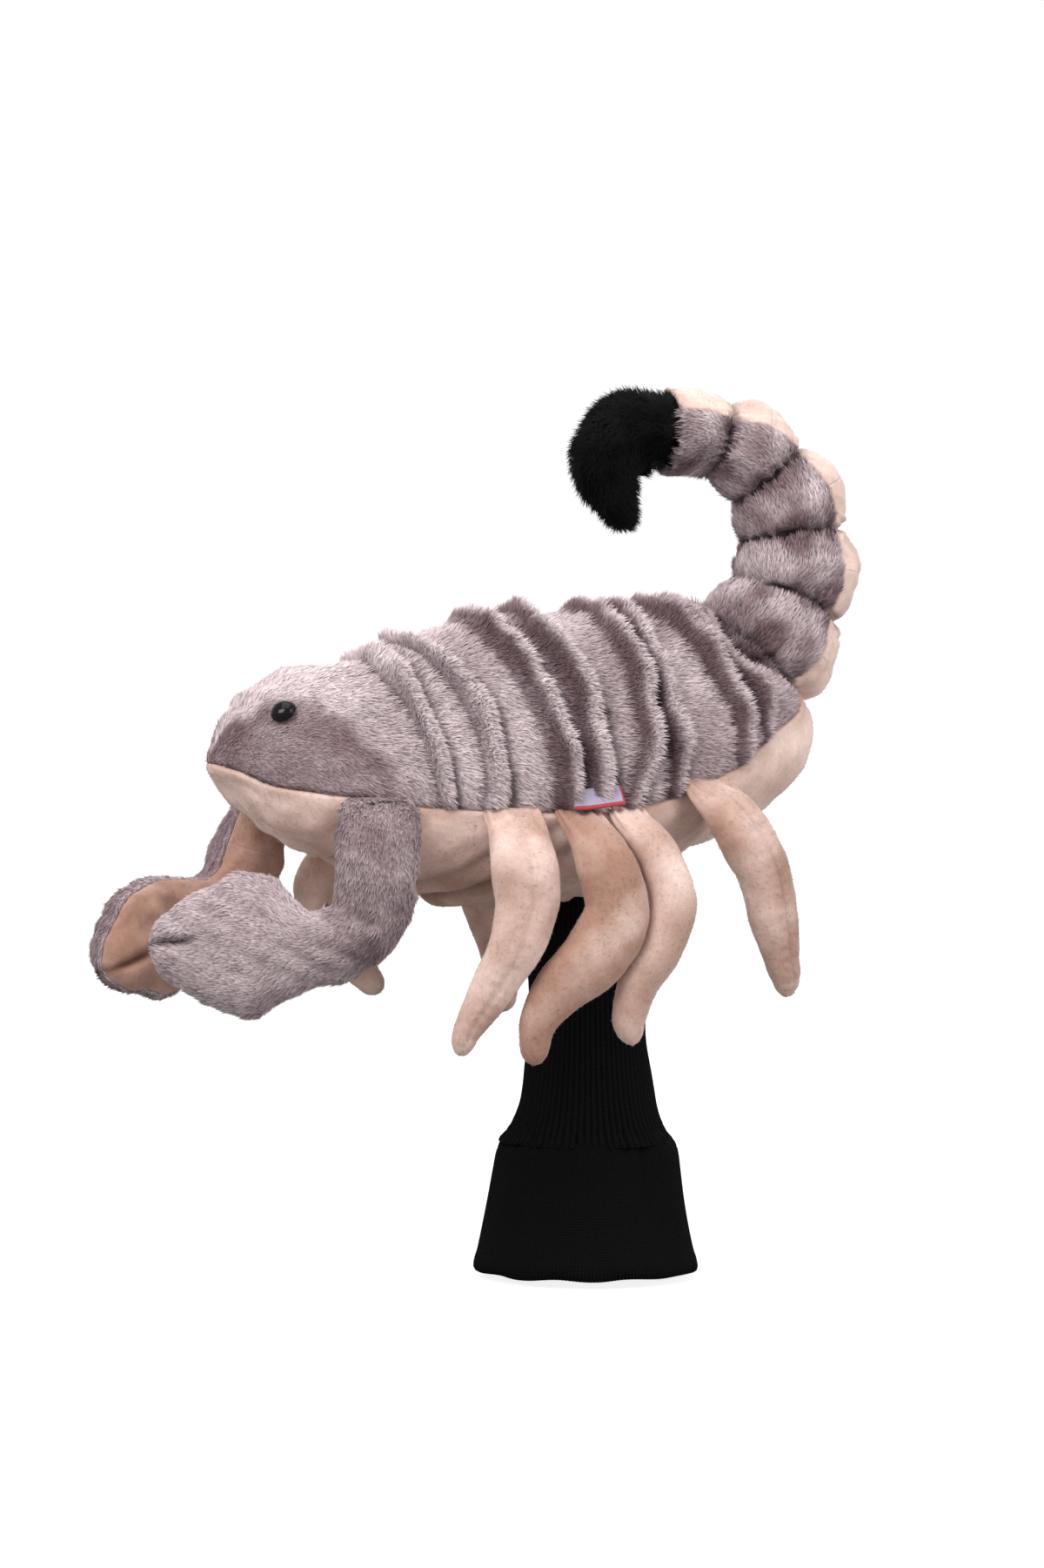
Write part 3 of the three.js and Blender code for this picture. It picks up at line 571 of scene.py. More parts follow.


# Back and head: one grey surface with eight stitched tucks, parted where the head's cover meets the back's. A
# tuck's row is its crest's place along the body at 90, 60, 40, 20 and 0 degrees up from the seam, its height,
# how far it overlaps like a shingle, and the width and depth of the dark band ahead of it, part brushed nap
# and part painted shade. Each crest gets a painted highlight, and the gutter behind it gets a painted shadow.
back = {
    "tucks": [
        [-104, -101, -94.5, -90, -87.5, 6.5, 0.15, 3, 0.25],
        [-90, -82, -71.5, -66, -66.5, 6.5, 0.2, 4, 0.35],
        [-55, -49, -42, -36, -33.5, 9.0, 0.75, 11, 0.75],
        [-36, -31.5, -24, -20, -23, 9.0, 0.7, 9, 0.75],
        [-2, 2, 5.6, 3.5, -9, 9.0, 0.7, 8, 0.6],
        [9, 15, 16.4, 16.4, 14.4, 9.0, 0.45, 7, 0.95],
        [33, 42, 49, 52, 46, 9.5, 0.6, 6, 0.75],
        [47, 53, 64, 71, 62, 9.5, 0.5, 6, 0.75],
    ],
    "welt": [[-16, 0], [-9, -0.02], [-6.2, -0.14], [-5.0, -0.2], [-3.8, 0.06], [-2.6, 0.6], [-1, 0.94],
             [0.5, 1.0], [2.0, 0.8], [3.0, 0.32], [3.9, -0.16], [5.0, -0.3], [8.5, -0.16], [15, 0]],
    "shingle": [[-16, 0], [-11, 0.1], [-7, 0.34], [-4, 0.66], [-2, 0.88], [-0.4, 1.0], [1.0, 0.97],
                [2.2, 0.72], [3.0, 0.25], [3.8, -0.16], [4.9, -0.32], [8.5, -0.18], [15, 0]],
    "sink": 0.6, "sinkTucks": 9.6, "rows": 330, "headRows": 110, "columns": 121,
    "brow": 1.5, "eyeAt": [-145.8, 31, 235.6],
    "patch": [[-169, 80], [-163, 70], [-155, 58], [-146, 52], [-139, 50], [-130, 40], [-120, 25], [-104, 6],
              [-92, -4]],
}
angleSteps = np.array([0, 20, 40, 60, 90])


def tuckDistance(points, places, lift, tuck):
    # distance along the cloth from the tuck's crest, ahead of it negative
    crest = placeAt(smoothCurve(angleSteps, tuck[4::-1], lift))
    run = gridDistance(points, 0, 0)
    spot = np.interp(crest, places, np.arange(len(places)))
    low = np.clip(spot.astype(int), 0, len(places) - 2)
    column = np.arange(points.shape[1])
    there = run[low, column] * (1 - spot + low) + run[low + 1, column] * (spot - low)
    return run - there


def makeUpper():
    nose, join, end = placeAt(noseEnd), placeAt(headEnd), rowPlace[-1]
    places = np.concatenate([nose + (join - nose) * crowd(back["headRows"], 0.2)[:-1],
                             join + (end - join) * np.linspace(0, 1, back["rows"])])
    angles = np.pi * crowd(back["columns"], 0.3)
    points = bodySurface(places[:, None], angles[None, :])
    normals = outwardNormals(points)
    lift = np.degrees(np.minimum(angles, np.pi - angles))
    x = np.interp(places, finePlace, fineRows[:, 0])[:, None]
    rise = np.zeros(points.shape[:2])
    crest, gutterShadow, dark = np.zeros_like(rise), np.zeros_like(rise), np.zeros_like(rise)
    welt, shingle = np.array(back["welt"]), np.array(back["shingle"])
    fade = (0.35 + 0.65 * smoothStep(0, 18, lift)) * (1 - 0.35 * smoothStep(50, 85, lift))
    waver = softNoise(points, 34, 3)
    for n, tuck in enumerate(back["tucks"]):
        away = tuckDistance(points, places, lift, tuck) + 1.5 * waver
        height, overlap, darkWide, darkDeep = tuck[5:]
        high = height * fade * (1 + 0.18 * softNoise(points, 18, 20 + n))
        near = np.clip(away, welt[0, 0], welt[-1, 0])
        one = smoothCurve(welt[:, 0], welt[:, 1], near) * (1 - overlap)
        one += smoothCurve(shingle[:, 0], shingle[:, 1], near) * overlap
        rise += one * high
        # painted highlight along each crest, painted shadow in the gutter behind it, and a darker band ahead
        # of it, part brushed nap and part painted shade
        crest = np.maximum(crest, hill(away, 0.6, 2.2))
        gutterShadow = np.maximum(gutterShadow, hill(away, 4.8, 1.9))
        gutterShadow = np.maximum(gutterShadow, (1 - overlap) * 0.8 * hill(away, -5.2, 1.1))
        shadow = darkDeep * smoothStep(-darkWide - 3, -darkWide + 2, away)
        dark = np.maximum(dark, shadow * (1 - smoothStep(-3.2, -1, away)))
    lumps = 0.7 * softNoise(points, 26, 5) + 0.35 * softNoise(points, 9, 6)
    rise += lumps * smoothStep(-169, -160, x) - back["sink"]
    sunk = smoothStep(2, 34, lift) - 0.33 * smoothStep(50, 85, lift)
    rise -= back["sinkTucks"] * smoothStep(-126, -100, x) * sunk
    ridge = hill(lift[None], 68, 8.0) * (1 - smoothStep(-146, -128, x)) * smoothStep(-169, -162, x)
    rise += back["brow"] * ridge
    for side in (1, -1):  # a dimple behind each eye, and a brow over it
        eyeX, eyeOut, eyeHigh = back["eyeAt"]
        spot = points - np.array([eyeX, -eyeOut * side, eyeHigh])
        fromBrow = ((spot[..., 2] - 6.5) / 3.2) ** 2 + (spot[..., 0] / 8) ** 2
        brow = np.exp(-fromBrow) * (points[..., 1] * side < 0)
        rise += -1.6 * hill(np.linalg.norm(spot, axis=-1), 0, 6) + 1.7 * brow
    edge = np.minimum(gridDistance(points, 1, 0), gridDistance(points, 1, 1))
    ends = gridDistance(points, 0, 1)
    tailRoot = 0.6 * smoothStep(34, 48, points[..., 0]) * smoothStep(42, 72, lift)[None]
    rise = rise * smoothStep(0, 6, ends) * (1 - tailRoot)
    girth = np.abs(points[..., 1]).max(axis=1)[:, None]
    sideRoll = np.minimum(body["seamRoll"], girth * 0.25 + 0.2)
    rise -= rollEdge(edge, sideRoll) + rollEdge(ends, body["seamRoll"])
    outer = points + normals * rise[..., None]
    # the nap is painted lighter on the crests and darker in the gutters and in the bands ahead of them
    nap = 0.86 - 0.34 * smoothStep(-80, 40, x) + 0.3 * crest - 0.95 * dark - 0.6 * gutterShadow
    nap = nap + 0.16 * softNoise(points, 45, 8) + 0.07 * softNoise(points, 14, 9)
    limit = np.interp(x, *np.array(back["patch"]).T) + 4 * softNoise(points, 16, 13)
    patch = smoothStep(-9, 9, limit - lift[None]) * (1 - smoothStep(-104, -92, x))
    nap = nap - 0.75 * patch + 0.1 * ridge
    # painted shade: fold darkens the gutters and the bands ahead of the crests
    fold = 1 - 0.72 * np.clip(gutterShadow - crest, 0, 1) - 0.3 * dark
    stand = np.clip(crest * fade[None], 0, 1)
    values = {"nap": np.clip(nap, 0, 1), "fold": fold, "stand": stand}
    return outer, values


# Pile: tufts to a square millimetre, length, width, lean in degrees from upright and its spread, and how far
# tufts stray alone and in clumps of a size
greyPile = {"perSquare": 1.6, "long": 3.9, "wide": 0.74, "lean": 67, "leanStray": 6, "stray": 0.09,
            "clump": 0.16, "clumpSize": 9.0}
headPile = {**greyPile, "long": 3.2, "lean": 71}
beigePile = {"perSquare": 0.6, "long": 1.2, "wide": 0.32, "lean": 60, "leanStray": 18, "stray": 0.4,
             "clump": 0.2, "clumpSize": 9.0}
blackPile = {"perSquare": 2.1, "long": 5.0, "wide": 0.6, "lean": 48, "leanStray": 14, "stray": 0.24,
             "clump": 0.4, "clumpSize": 7.0}


def flatValues(values, tip):
    count = values["nap"].shape
    return {**values, "tip": np.full(count, tip), "tuft": np.full(count, 0.5)}


def pileLie(points):
    # which way the pile lies: along the rows, towards the rear or the tip
    return unit(np.gradient(points, axis=0))


def finishPlush(pieces, bodies, bend=None):
    for piece in pieces:
        if bend is not None:
            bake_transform(piece)
        else:
            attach(piece, bodies)


def plushPanel(name, outer, values, material, pile, bodies, seed, bend=None, keep=None, thick=None, lie=None):
    # a skin of cloth and its pile. The skin shows between the tufts, painted as dark as their shaded roots on
    # deep pile.
    tip = 0.8 if pile is beigePile else 0.35
    skin = clothPanel(name, outer, thick or body["plush"], material, flatValues(values, tip), keep)
    normals = outwardNormals(outer)
    lie = pileLie(outer) if lie is None else lie
    tufts = growPile(f"{name}_pile", outer, normals, lie, values, pile, material, seed, keep)
    finishPlush([skin, *tufts], bodies, bend)
    return skin


outer, values = makeUpper()
downwards = np.zeros_like(outer)
downwards[..., 1] = np.sign(outer[..., 1]) * np.clip(np.abs(outer[..., 1]) / 40, 0, 1) * 0.3
downwards[..., 2] = -0.5 * np.clip(np.abs(outer[..., 1]) / 50, 0, 1)
lie = unit(pileLie(outer) + downwards)
parting = back["headRows"] - 1
for name, rows, nodes, pile, seed in (
    ("head_cover", slice(0, parting + 1), ["head_panel", "head_stuffing"], headPile, 102),
    ("back_cover", slice(parting, None), ["back_panel", "padding_upper"], greyPile, 101),
):
    some = {k: v[rows] for k, v in values.items()}
    panel = plushPanel(name, outer[rows], some, greyPlush, pile, "trunk", seed, lie=lie[rows])
    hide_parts(*nodes)
print("head and back made")


# Underside: a beige chin and belly, with an opening where the sock goes in
belly = {"openingRadius": 25.4, "rows": 140, "columns": 104}


def makeUnderside(low, high, rows, columns, seed):
    places = placeAt(low) + (placeAt(high) - placeAt(low)) * crowd(rows, 0.2)
    angles = np.pi + np.pi * crowd(columns, 0.3)
    points = bodySurface(places[:, None], angles[None, :])
    normals = outwardNormals(points)
    x = np.interp(places, finePlace, fineRows[:, 0])[:, None]
    edge = np.minimum(gridDistance(points, 1, 0), gridDistance(points, 1, 1))
    front = gridDistance(points, 0, 0)
    rear = gridDistance(points, 0, 1)
    throat = np.hypot(points[..., 0], points[..., 1])
    calm = smoothStep(26, 44, throat) * smoothStep(0, 12, edge)
    rise = (1.3 * softNoise(points, 42, seed) + 0.6 * softNoise(points, 15, seed + 1)) * calm
    gather = np.cos(22 * np.arctan2(points[..., 1], points[..., 0]) + 3 * softNoise(points, 30, seed + 2))
    rise += 0.8 * gather * hill(throat, 26, 7)
    shade = np.ones(points.shape[:2])
    if low > headEnd:  # the belly, creased between the arms and the sock
        slope = points[..., 2] - (168 + 0.5 * (points[..., 0] + 60))
        # creases in the belly, each also painted darker through the fold value: painted shade in them
        for offset, deep in ((0, 3.2), (13, 1.8), (-14, 1.6)):
            crease = hill(slope, offset, 3.0) * calm * (1 - smoothStep(-60, -15, x))
            rise -= deep * crease
            shade -= 0.16 * deep * crease
        rise -= rollEdge(rear, 2.4) + rollEdge(front, 2.0)
        rise += 2.2 * hill(x, 66, 16) * smoothStep(4, 16, edge)
        rise -= 1.8 * hill(x, 36, 4.0) * smoothStep(3, 12, edge)
    else:
        rise = rise * smoothStep(0, 16, front) - rollEdge(rear, 2.0)
    girth = np.abs(points[..., 1]).max(axis=1)[:, None]
    rise -= rollEdge(edge, np.minimum(body["seamRoll"], girth * 0.3 + 0.2))
    outer = points + normals * rise[..., None]
    nap = 0.84 + 0.22 * softNoise(points, 34, seed + 3) + 0.07 * softNoise(points, 11, seed + 4)
    # painted shade: darker towards the underside's bottom and front, and the nap is also darker along the
    # seams
    deep = 0.7 * smoothStep(186, 166, points[..., 2]) * smoothStep(30, -30, points[..., 0])
    nap -= 0.3 * hill(edge, 0, 5) + deep
    values = {"nap": np.clip(nap, 0, 1), "fold": shade}
    return outer, values


outer, values = makeUnderside(headEnd + 0.2, bodyRows[-1, 0], belly["rows"], belly["columns"], 31)
gone = (np.hypot(outer[..., 0], outer[..., 1]) < belly["openingRadius"]) & (outer[..., 2] < 176)
cells = gone[:-1, :-1] & gone[1:, :-1] & gone[1:, 1:] & gone[:-1, 1:]
out = np.maximum(np.hypot(outer[..., 0], outer[..., 1]), 1e-6)
stretch = np.where(gone, belly["openingRadius"] / out, 1)
outer[..., :2] *= stretch[..., None]
bellyPanel = plushPanel("belly_cover", outer, values, beigePlush, beigePile, "trunk", 103, keep=~cells)
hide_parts("belly_panel")
outer, values = makeUnderside(noseEnd, headEnd - 0.2, 90, 90, 41)
chinPanel = plushPanel("chin_cover", outer, values, beigePlush, beigePile, "trunk", 104)
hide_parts("chin_panel")
print("underside made")


# Eyes: a glossy dome with a rounded edge, seated in the pile
eye = {"radius": 4.9, "height": 2.8, "steps": 26, "around": 48}


def makeEye(side):
    low, high = (np.array(corner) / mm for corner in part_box(f"eye_{side}"))
    place = placeAt(-146.0)
    angle = np.radians(44 if side == "left" else 136)
    here = bodySurface(np.array([place]), np.array([angle]))[0]
    ahead = bodySurface(np.array([place + 1]), np.array([angle]))[0] - here
    over = bodySurface(np.array([place]), np.array([angle + 0.02]))[0] - here
    up = unit(np.cross(ahead, over))
    up = up if up[1] * (low[1] + high[1]) > 0 else -up
    first = unit(ahead)
    second = np.cross(up, first)
    turn = np.linspace(0, np.pi / 2 * 0.995, eye["steps"])
    outline = np.stack([np.cos(turn) ** 0.8 * eye["radius"], 0.6 + np.sin(turn) ** 1.1 * eye["height"]], 1)
    under = np.array([[0.6, -2.5], [1.6, -2.4], [1.7, -0.6], [4.6, -0.5], [5.2, -0.2], [5.4, 0.2]])
    outline = np.concatenate([under, outline])
    around = np.linspace(0, 2 * np.pi, eye["around"], endpoint=False)
    flat = np.cos(around)[:, None] * first + np.sin(around)[:, None] * second * 0.9
    rings = here + outline[:, None, :1] * flat[None] + outline[:, None, 1:] * up
    piece = stuffedTube(f"eye_dome_{side}", rings, eyePlastic)
    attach(piece, "trunk")
    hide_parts(f"eye_{side}")


makeEye("left")
makeEye("right")
print("eyes made")


# Sock: a ribbed neck and a folded cuff, both turned about the shaft's line. A profile has heights and radii.
sock = {
    "neck": [[174, 23.4], [156, 23.6], [130, 23.6], [112, 23.9], [100, 24.4], [88, 25.8], [78, 27.2],
             [68, 29.4], [61, 32.4], [57, 35.4], [55, 36.6]],
    "neckWales": 72, "neckRib": 0.85, "neckWall": 1.6,
    "cuff": [[57.5, 33.5], [56.6, 35.8], [54.6, 37.4], [51, 38.6], [44, 39.7], [32, 41.4], [20, 43.4],
             [9, 45.6], [4.2, 46.7], [1.6, 46.5], [0.2, 45.2], [0.4, 43.6], [2.6, 42.6], [8, 42.0],
             [20, 40.2], [38, 37.4], [52, 35.0]],
    "neckRows": 64, "cuffRows": 76, "cuffOutside": 50, "cuffWales": 190, "cuffRib": 0.34,
    "courseHeight": 1.15, "bendReach": 10,
}


def ribShape(around, wales):
    # a rounded rib: one less the square of the place across it, so that ribs meet in narrow valleys
    across = (around * wales / (2 * np.pi)) % 1 * 2 - 1
    return 1 - across**2, 1 - np.abs(across)


def makeNeck():
    profile = np.array(sock["neck"])
    heights = np.linspace(profile[0, 0], profile[-1, 0], sock["neckRows"])
    radius = smoothCurve(profile[::-1, 0], profile[::-1, 1], heights)
    around = np.linspace(0, 2 * np.pi, sock["neckWales"] * 8, endpoint=False)
    rib, wale = ribShape(around, sock["neckWales"])
    flat = np.stack([np.cos(around), np.sin(around), np.zeros_like(around)], 1)
    base = flat[None] * radius[:, None, None] + heights[:, None, None] * np.array([0, 0, 1])
    flare = 1 + 0.8 * hill(heights, 58, 10)[:, None]
    gather = np.abs(softNoise(base, 7, 52)) * 1.1 * hill(heights, 57, 6)[:, None]
    droop = 0.45 * softNoise(base, 38, 51)
    lift = rib[None] * sock["neckRib"] * flare + droop - gather
    outside = base + flat[None] * lift[..., None]
    inside = base - flat[None] * sock["neckWall"]
    rings = np.concatenate([outside, inside[::-6][:-1], inside[:1]])
    course = heights / sock["courseHeight"]
    course = np.concatenate([course, course[::-6][:-1], course[:1]])
    values = {"wale": np.tile(wale, (len(rings), 1)), "course": np.tile(course[:, None], (1, len(around)))}
    return closedRing("sock_neck_knit", rings, blackKnit, values)


def closedRing(name, rings, material, values):
    # a profile that closes on itself, carried all the way round
    rows, columns = rings.shape[:2]
    faces = gridQuads(rows, columns, True)
    last = np.arange(columns) + (rows - 1) * columns
    first = np.arange(columns)
    close = np.stack([last, first, np.roll(first, -1), np.roll(last, -1)], 1)
    faces = np.concatenate([faces, close])
    a, b, c = (rings.reshape(-1, 3)[faces[:, k]] for k in range(3))
    if np.sum(a * np.cross(b, c)) < 0:
        faces = faces[:, ::-1]
    u = (np.arange(rows * columns) // columns) / rows * 0.98 + 0.005
    v = (np.arange(rows * columns) % columns) / columns * 0.98 + 0.005
    places = np.stack([u, v], 1)[faces]
    for k, size in ((0, 1.0 / rows), (1, 1.0 / columns)):
        wide = places[..., k].max(axis=1) - places[..., k].min(axis=1) > 0.5
        turned = places[wide, :, k]
        places[wide, :, k] = np.where(turned < 0.5, turned.max(axis=1, keepdims=True) + 0.9 * size, turned)
    return buildMesh(name, rings.reshape(-1, 3), [faces], material, values, places.reshape(-1, 2))


def makeCuff():
    profile = np.array(sock["cuff"])
    run = lengthAlong(profile)
    rows = sock["cuffRows"]
    line = smoothCurve(run, profile, np.linspace(0, run[-1], rows))
    around = np.linspace(0, 2 * np.pi, sock["cuffWales"] * 4, endpoint=False)
    rib, wale = ribShape(around, sock["cuffWales"])
    flat = np.stack([np.cos(around), np.sin(around), np.zeros_like(around)], 1)
    base = flat[None] * line[:, None, 1:] + line[:, None, :1] * np.array([0, 0, 1])
    outside = (np.arange(rows) < sock["cuffOutside"])[:, None]
    hem = hill(line[:, :1], 1, 5)
    wave = 0.9 * softNoise(base * [1, 1, 0.35], 34, 61) + 0.5 * hem * softNoise(base, 16, 62)
    valley = np.angle(np.exp(1j * (around - np.radians(286))))
    valley = hill(valley, 0, 0.07)[None] * smoothStep(12, 50, line[:, :1]) * -1.7
    gather = np.abs(softNoise(base, 6, 63)) * hill(line[:, :1], 56, 4)
    bulge = rib[None] * sock["cuffRib"] * (1 + 1.2 * hem) * outside
    points = base + flat[None] * (wave + valley + bulge - gather)[..., None]
    points[..., 2] += 0.7 * hem * softNoise(base * [1, 1, 0], 30, 64) * (line[:, :1] < 30)
    course = run[-1] * np.linspace(0, 1, rows) / sock["courseHeight"]
    values = {"wale": np.tile(wale, (rows, 1)), "course": np.tile(course[:, None], (1, len(around)))}
    return closedRing("sock_cuff_knit", points, blackKnit, values)


neckPiece = makeNeck()
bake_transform(neckPiece)
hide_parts("sock_neck")
cuffPiece = makeCuff()
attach(cuffPiece, "sock")
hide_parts("sock_cuff")
print("sock made")


# Limbs are tubes along a path of [towards the rear, out, down] from the hinge, as wide and as thick as each
# point's size. They start flat where they are sewn in, root wide, with two rows that their makers add.
def seamFrame(joint):
    axis = np.array(joints[joint]["axis"], float)
    return jointPlace(joint), axis, np.array([-axis[1], axis[0], 0.0])


def limbLine(joint, side, path, sizes, samples):
    origin, along, out = seamFrame(joint)
    path = np.array(path, float)
    spots = origin + path[:, :1] * along + side * path[:, 1:2] * out - path[:, 2:3] * np.array([0, 0, 1.0])
    run = lengthAlong(spots)
    at = run[-1] * samples
    return smoothCurve(run, spots, at), smoothCurve(run, np.array(sizes, float), at), at, along


limbRoundness = 0.9
straightDown = np.array([0, 0, -1.0])


def limbRings(centre, sizes, wide, angles, level):
    # ovals square to the limb's line, level where it is sewn in
    along = unit(np.gradient(centre, axis=0))
    along = unit(along * level + straightDown * (1 - level))
    across = unit(wide - along * np.sum(along * wide, axis=1, keepdims=True))
    through = np.cross(along, across)
    c = signedPower(np.cos(angles), limbRoundness)[..., None]
    s = signedPower(np.sin(angles), limbRoundness)[..., None]
    wideWay = across[:, None] * c * sizes[:, None, :1]
    return centre[:, None] + wideWay + through[:, None] * s * sizes[:, None, 1:]


def blunt(at, length):
    # rounds off the last stretch of a limb, like the end of a stadium
    left = np.clip((at[-1] - at) / length, 0, 1)
    return np.sqrt(1 - (1 - left) ** 2)[:, None]


legs = {
    "leg_left_1": {
        "path": [[1, 12, 18], [2, 16, 38], [-4, 17, 56], [-15, 15, 76], [-23, 14, 90], [-25.5, 13, 98]],
        "root": 13.5, "size": [[14, 9], [13.5, 11], [12, 10], [8.6, 7.5], [5.6, 5.6], [4, 4]],
        "nap": 0.5, "seam": True},
    "leg_left_2": {
        "path": [[5, 12, 18], [10, 16, 40], [1, 16, 57], [-15, 14, 72], [-23, 13, 84], [-25, 12, 102]],
        "root": 11, "size": [[12.5, 9], [14, 11], [14.5, 10.5], [11, 9], [8, 7.5], [4.8, 4.8]],
        "nap": 0.14, "seam": False},
    "leg_left_3": {
        "path": [[7, 11, 18], [12, 15, 38], [6.5, 14.5, 56], [-3, 12, 74], [-5.5, 11, 86], [-4, 11, 96]],
        "root": 9, "size": [[10, 8], [10, 9.5], [9.5, 9], [8.4, 7.5], [7, 6.6], [4.2, 4.2]],
        "nap": 0.62, "seam": False},
    "leg_left_4": {
        "path": [[6, 10, 18], [17, 14, 38], [23, 14, 58], [28, 13, 74], [31.5, 12, 83], [33, 11, 90]],
        "root": 15, "size": [[14, 9], [12.5, 10], [11, 9.5], [8.2, 7.4], [6, 5.8], [4, 4]],
        "nap": 0.34, "seam": True},
    "leg_right_1": {
        "path": [[-20, 11, 16], [-30, 15, 34], [-25, 14, 54], [-10, 12, 72], [-2, 11, 81]],
        "root": 13.5, "size": [[12.5, 9], [12, 10.5], [10.5, 9], [7.5, 7], [5, 5]],
        "nap": 0.4, "seam": True},
    "leg_right_2": {
        "path": [[9, 12, 18], [20, 16, 38], [27, 15, 58], [30, 13, 80], [29, 12, 91]],
        "root": 11, "size": [[10.5, 9], [10, 10], [9.5, 9], [7.5, 7], [5, 5]],
        "nap": 0.4, "seam": False},
    "leg_right_3": {
        "path": [[10, 11, 18], [20, 15, 38], [25, 14, 58], [24, 12, 80], [22, 11, 91]],
        "root": 9, "size": [[10, 9], [10, 10], [9.5, 9], [7.5, 7], [5, 5]],
        "nap": 0.45, "seam": False},
    "leg_right_4": {
        "path": [[17, 10, 16], [29, 14, 36], [27, 14, 56], [14, 12, 76], [8, 11, 85]],
        "root": 13.5, "size": [[13, 9], [12, 10.5], [10.5, 9], [7.5, 7], [5, 5]],
        "nap": 0.5, "seam": True},
}
legGrid = {
    "rows": 96, "columns": 64, "tipLength": 5.5, "slim": [0.94, 0.88], "bendFrom": 1.0, "bendTo": 22.0,
    "rootPath": [[0, -5.5, -1.5], [0.3, 1.2, 4]], "rootSize": [[0.85, 1.5], [0.95, 4.5]],
}


def withRoot(limb, grid):
    # a root's size is its share of the root's width, and its thickness
    first = [[limb["root"] * share, thick] for share, thick in grid["rootSize"]]
    return grid["rootPath"] + limb["path"], first + limb["size"]


def makeLeg(name, leg, seed):
    side = -1 if "left" in name else 1
    samples = crowd(legGrid["rows"], 0.3)
    centre, sizes, at, wide = limbLine(f"{name}_swing", side, *withRoot(leg, legGrid), samples)
    sizes = sizes * (1 - (1 - np.array(legGrid["slim"])) * smoothStep(0, 14, at)[:, None])
    sizes = sizes * np.maximum(blunt(at, legGrid["tipLength"]), 0.05)
    angles = np.linspace(0, 2 * np.pi, legGrid["columns"], endpoint=False)
    rings = limbRings(centre, sizes, wide, angles, smoothStep(0, 16, at)[:, None])
    normals = outwardNormals(rings, True)
    run = at[:, None]
    tipCalm = smoothStep(0, 10, at[-1] - run)
    rise = 0.45 * softNoise(rings, 30, seed) * smoothStep(2, 16, run) * tipCalm
    rise += 0.12 * softNoise(rings, 9, seed + 1) * tipCalm
    rise += 0.7 * np.cos(9 * angles + 2)[None] * hill(run, 0, 12) * smoothStep(0, 3, run)
    groove = np.zeros_like(rise)
    if leg["seam"]:
        outside = np.radians(90 if np.mean(normals[:, 16, 1]) * side > 0 else 270)
        off = np.angle(np.exp(1j * (angles - outside)))[None] * np.maximum(sizes[:, :1], 2)
        groove = hill(off, 0, 0.9) * smoothStep(8, 20, run) * tipCalm
        pucker = np.sin(2 * np.pi * run / 4.6 + softNoise(rings, 12, seed + 2)) * hill(np.abs(off), 2.4, 1.8)
        rise += -0.5 * groove + 0.2 * pucker * smoothStep(8, 20, run)
    rings = rings + normals * rise[..., None]
    nap = leg["nap"] + 0.24 * softNoise(rings, 30, seed + 3) + 0.07 * softNoise(rings, 9, seed + 4)
    # painted shade: the seam's groove darkens the fold value
    values = {"nap": np.clip(nap, 0, 1), "fold": 1 - 0.12 * groove}
    cover = stuffedTube(f"{name}_stuffed", rings, beigePlush, flatValues(values, 0.8))
    tufts = growPile(f"{name}_pile", rings, outwardNormals(rings, True), pileLie(rings), values, beigePile,
                     beigePlush, seed + 5, wraps=True)
    bend = [centre[0] + straightDown * legGrid[end] for end in ("bendFrom", "bendTo")]
    finishPlush([cover, *tufts], ("trunk", name), bend)
    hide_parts(f"{name}_cover", f"{name}_stuffing")


for n, (name, leg) in enumerate(legs.items()):
    makeLeg(name, leg, 200 + 10 * n)
print("legs made")


# Arms: one bent tube from the shoulder to the claw's tip, grey outside and beige towards the body, parted
# halfway down the upper arm so that each part crosses one joint.
arms = {
    "left": {
        "side": -1,
        "path": [[-1, 11, 17], [-1, 14, 33], [-5, 13.5, 47], [-15, 12.5, 56.5], [-27, 12, 59],
                 [-38, 11.5, 59.5], [-46, 11, 59], [-54, 10, 58.5], [-62, 9.5, 58.5], [-72, 8.5, 58],
                 [-82, 7.5, 58], [-91, 6.5, 58]],
        "root": 15, "size": [[15.6, 10.5], [15.6, 13.5], [15.8, 14], [15.5, 14], [15, 14],
                 [21, 14], [28, 14.5], [29, 14.5], [27, 14], [21, 13], [14.5, 11], [9, 7]],
        "parted": 43.0, "elbow": [[-1, 14, 38], [-16, 12, 60]],
        "grey": 188, "slit": -0.12, "nap": [0.3, 0.62, 0.5],
    },
    "right": {
        "side": 1,
        "path": [[-4, 13, 14], [-7, 16.5, 26], [-12, 17, 36], [-21, 15, 44], [-33, 13, 48.5],
                 [-43, 11, 51], [-52, 9.5, 54.5], [-62, 7.5, 58.5], [-72, 6, 62], [-82, 4, 66.5],
                 [-92, 2, 71.5]],
        "root": 15, "size": [[15.5, 10.5], [16, 13.5], [15.5, 13.5], [15, 13.5], [14.5, 13],
                 [17, 13], [22, 13], [24, 13], [21.5, 12], [16, 10.5], [9, 7]],
        "parted": 33.0, "elbow": [[-6, 16, 27], [-24, 15, 46]],
        "grey": 214, "slit": -0.1, "nap": [0.1, 0.2, 0.12],
    },
}


armGrid = {
    "rows": 190, "outerColumns": 73, "innerColumns": 57, "tipLength": 6.5, "cloth": 1.0, "bendTo": 22,
    "rootPath": [[0, -5.5, -1.5], [0, 1.2, 4]], "rootSize": [[0.85, 1.5], [1.0, 5]],
}


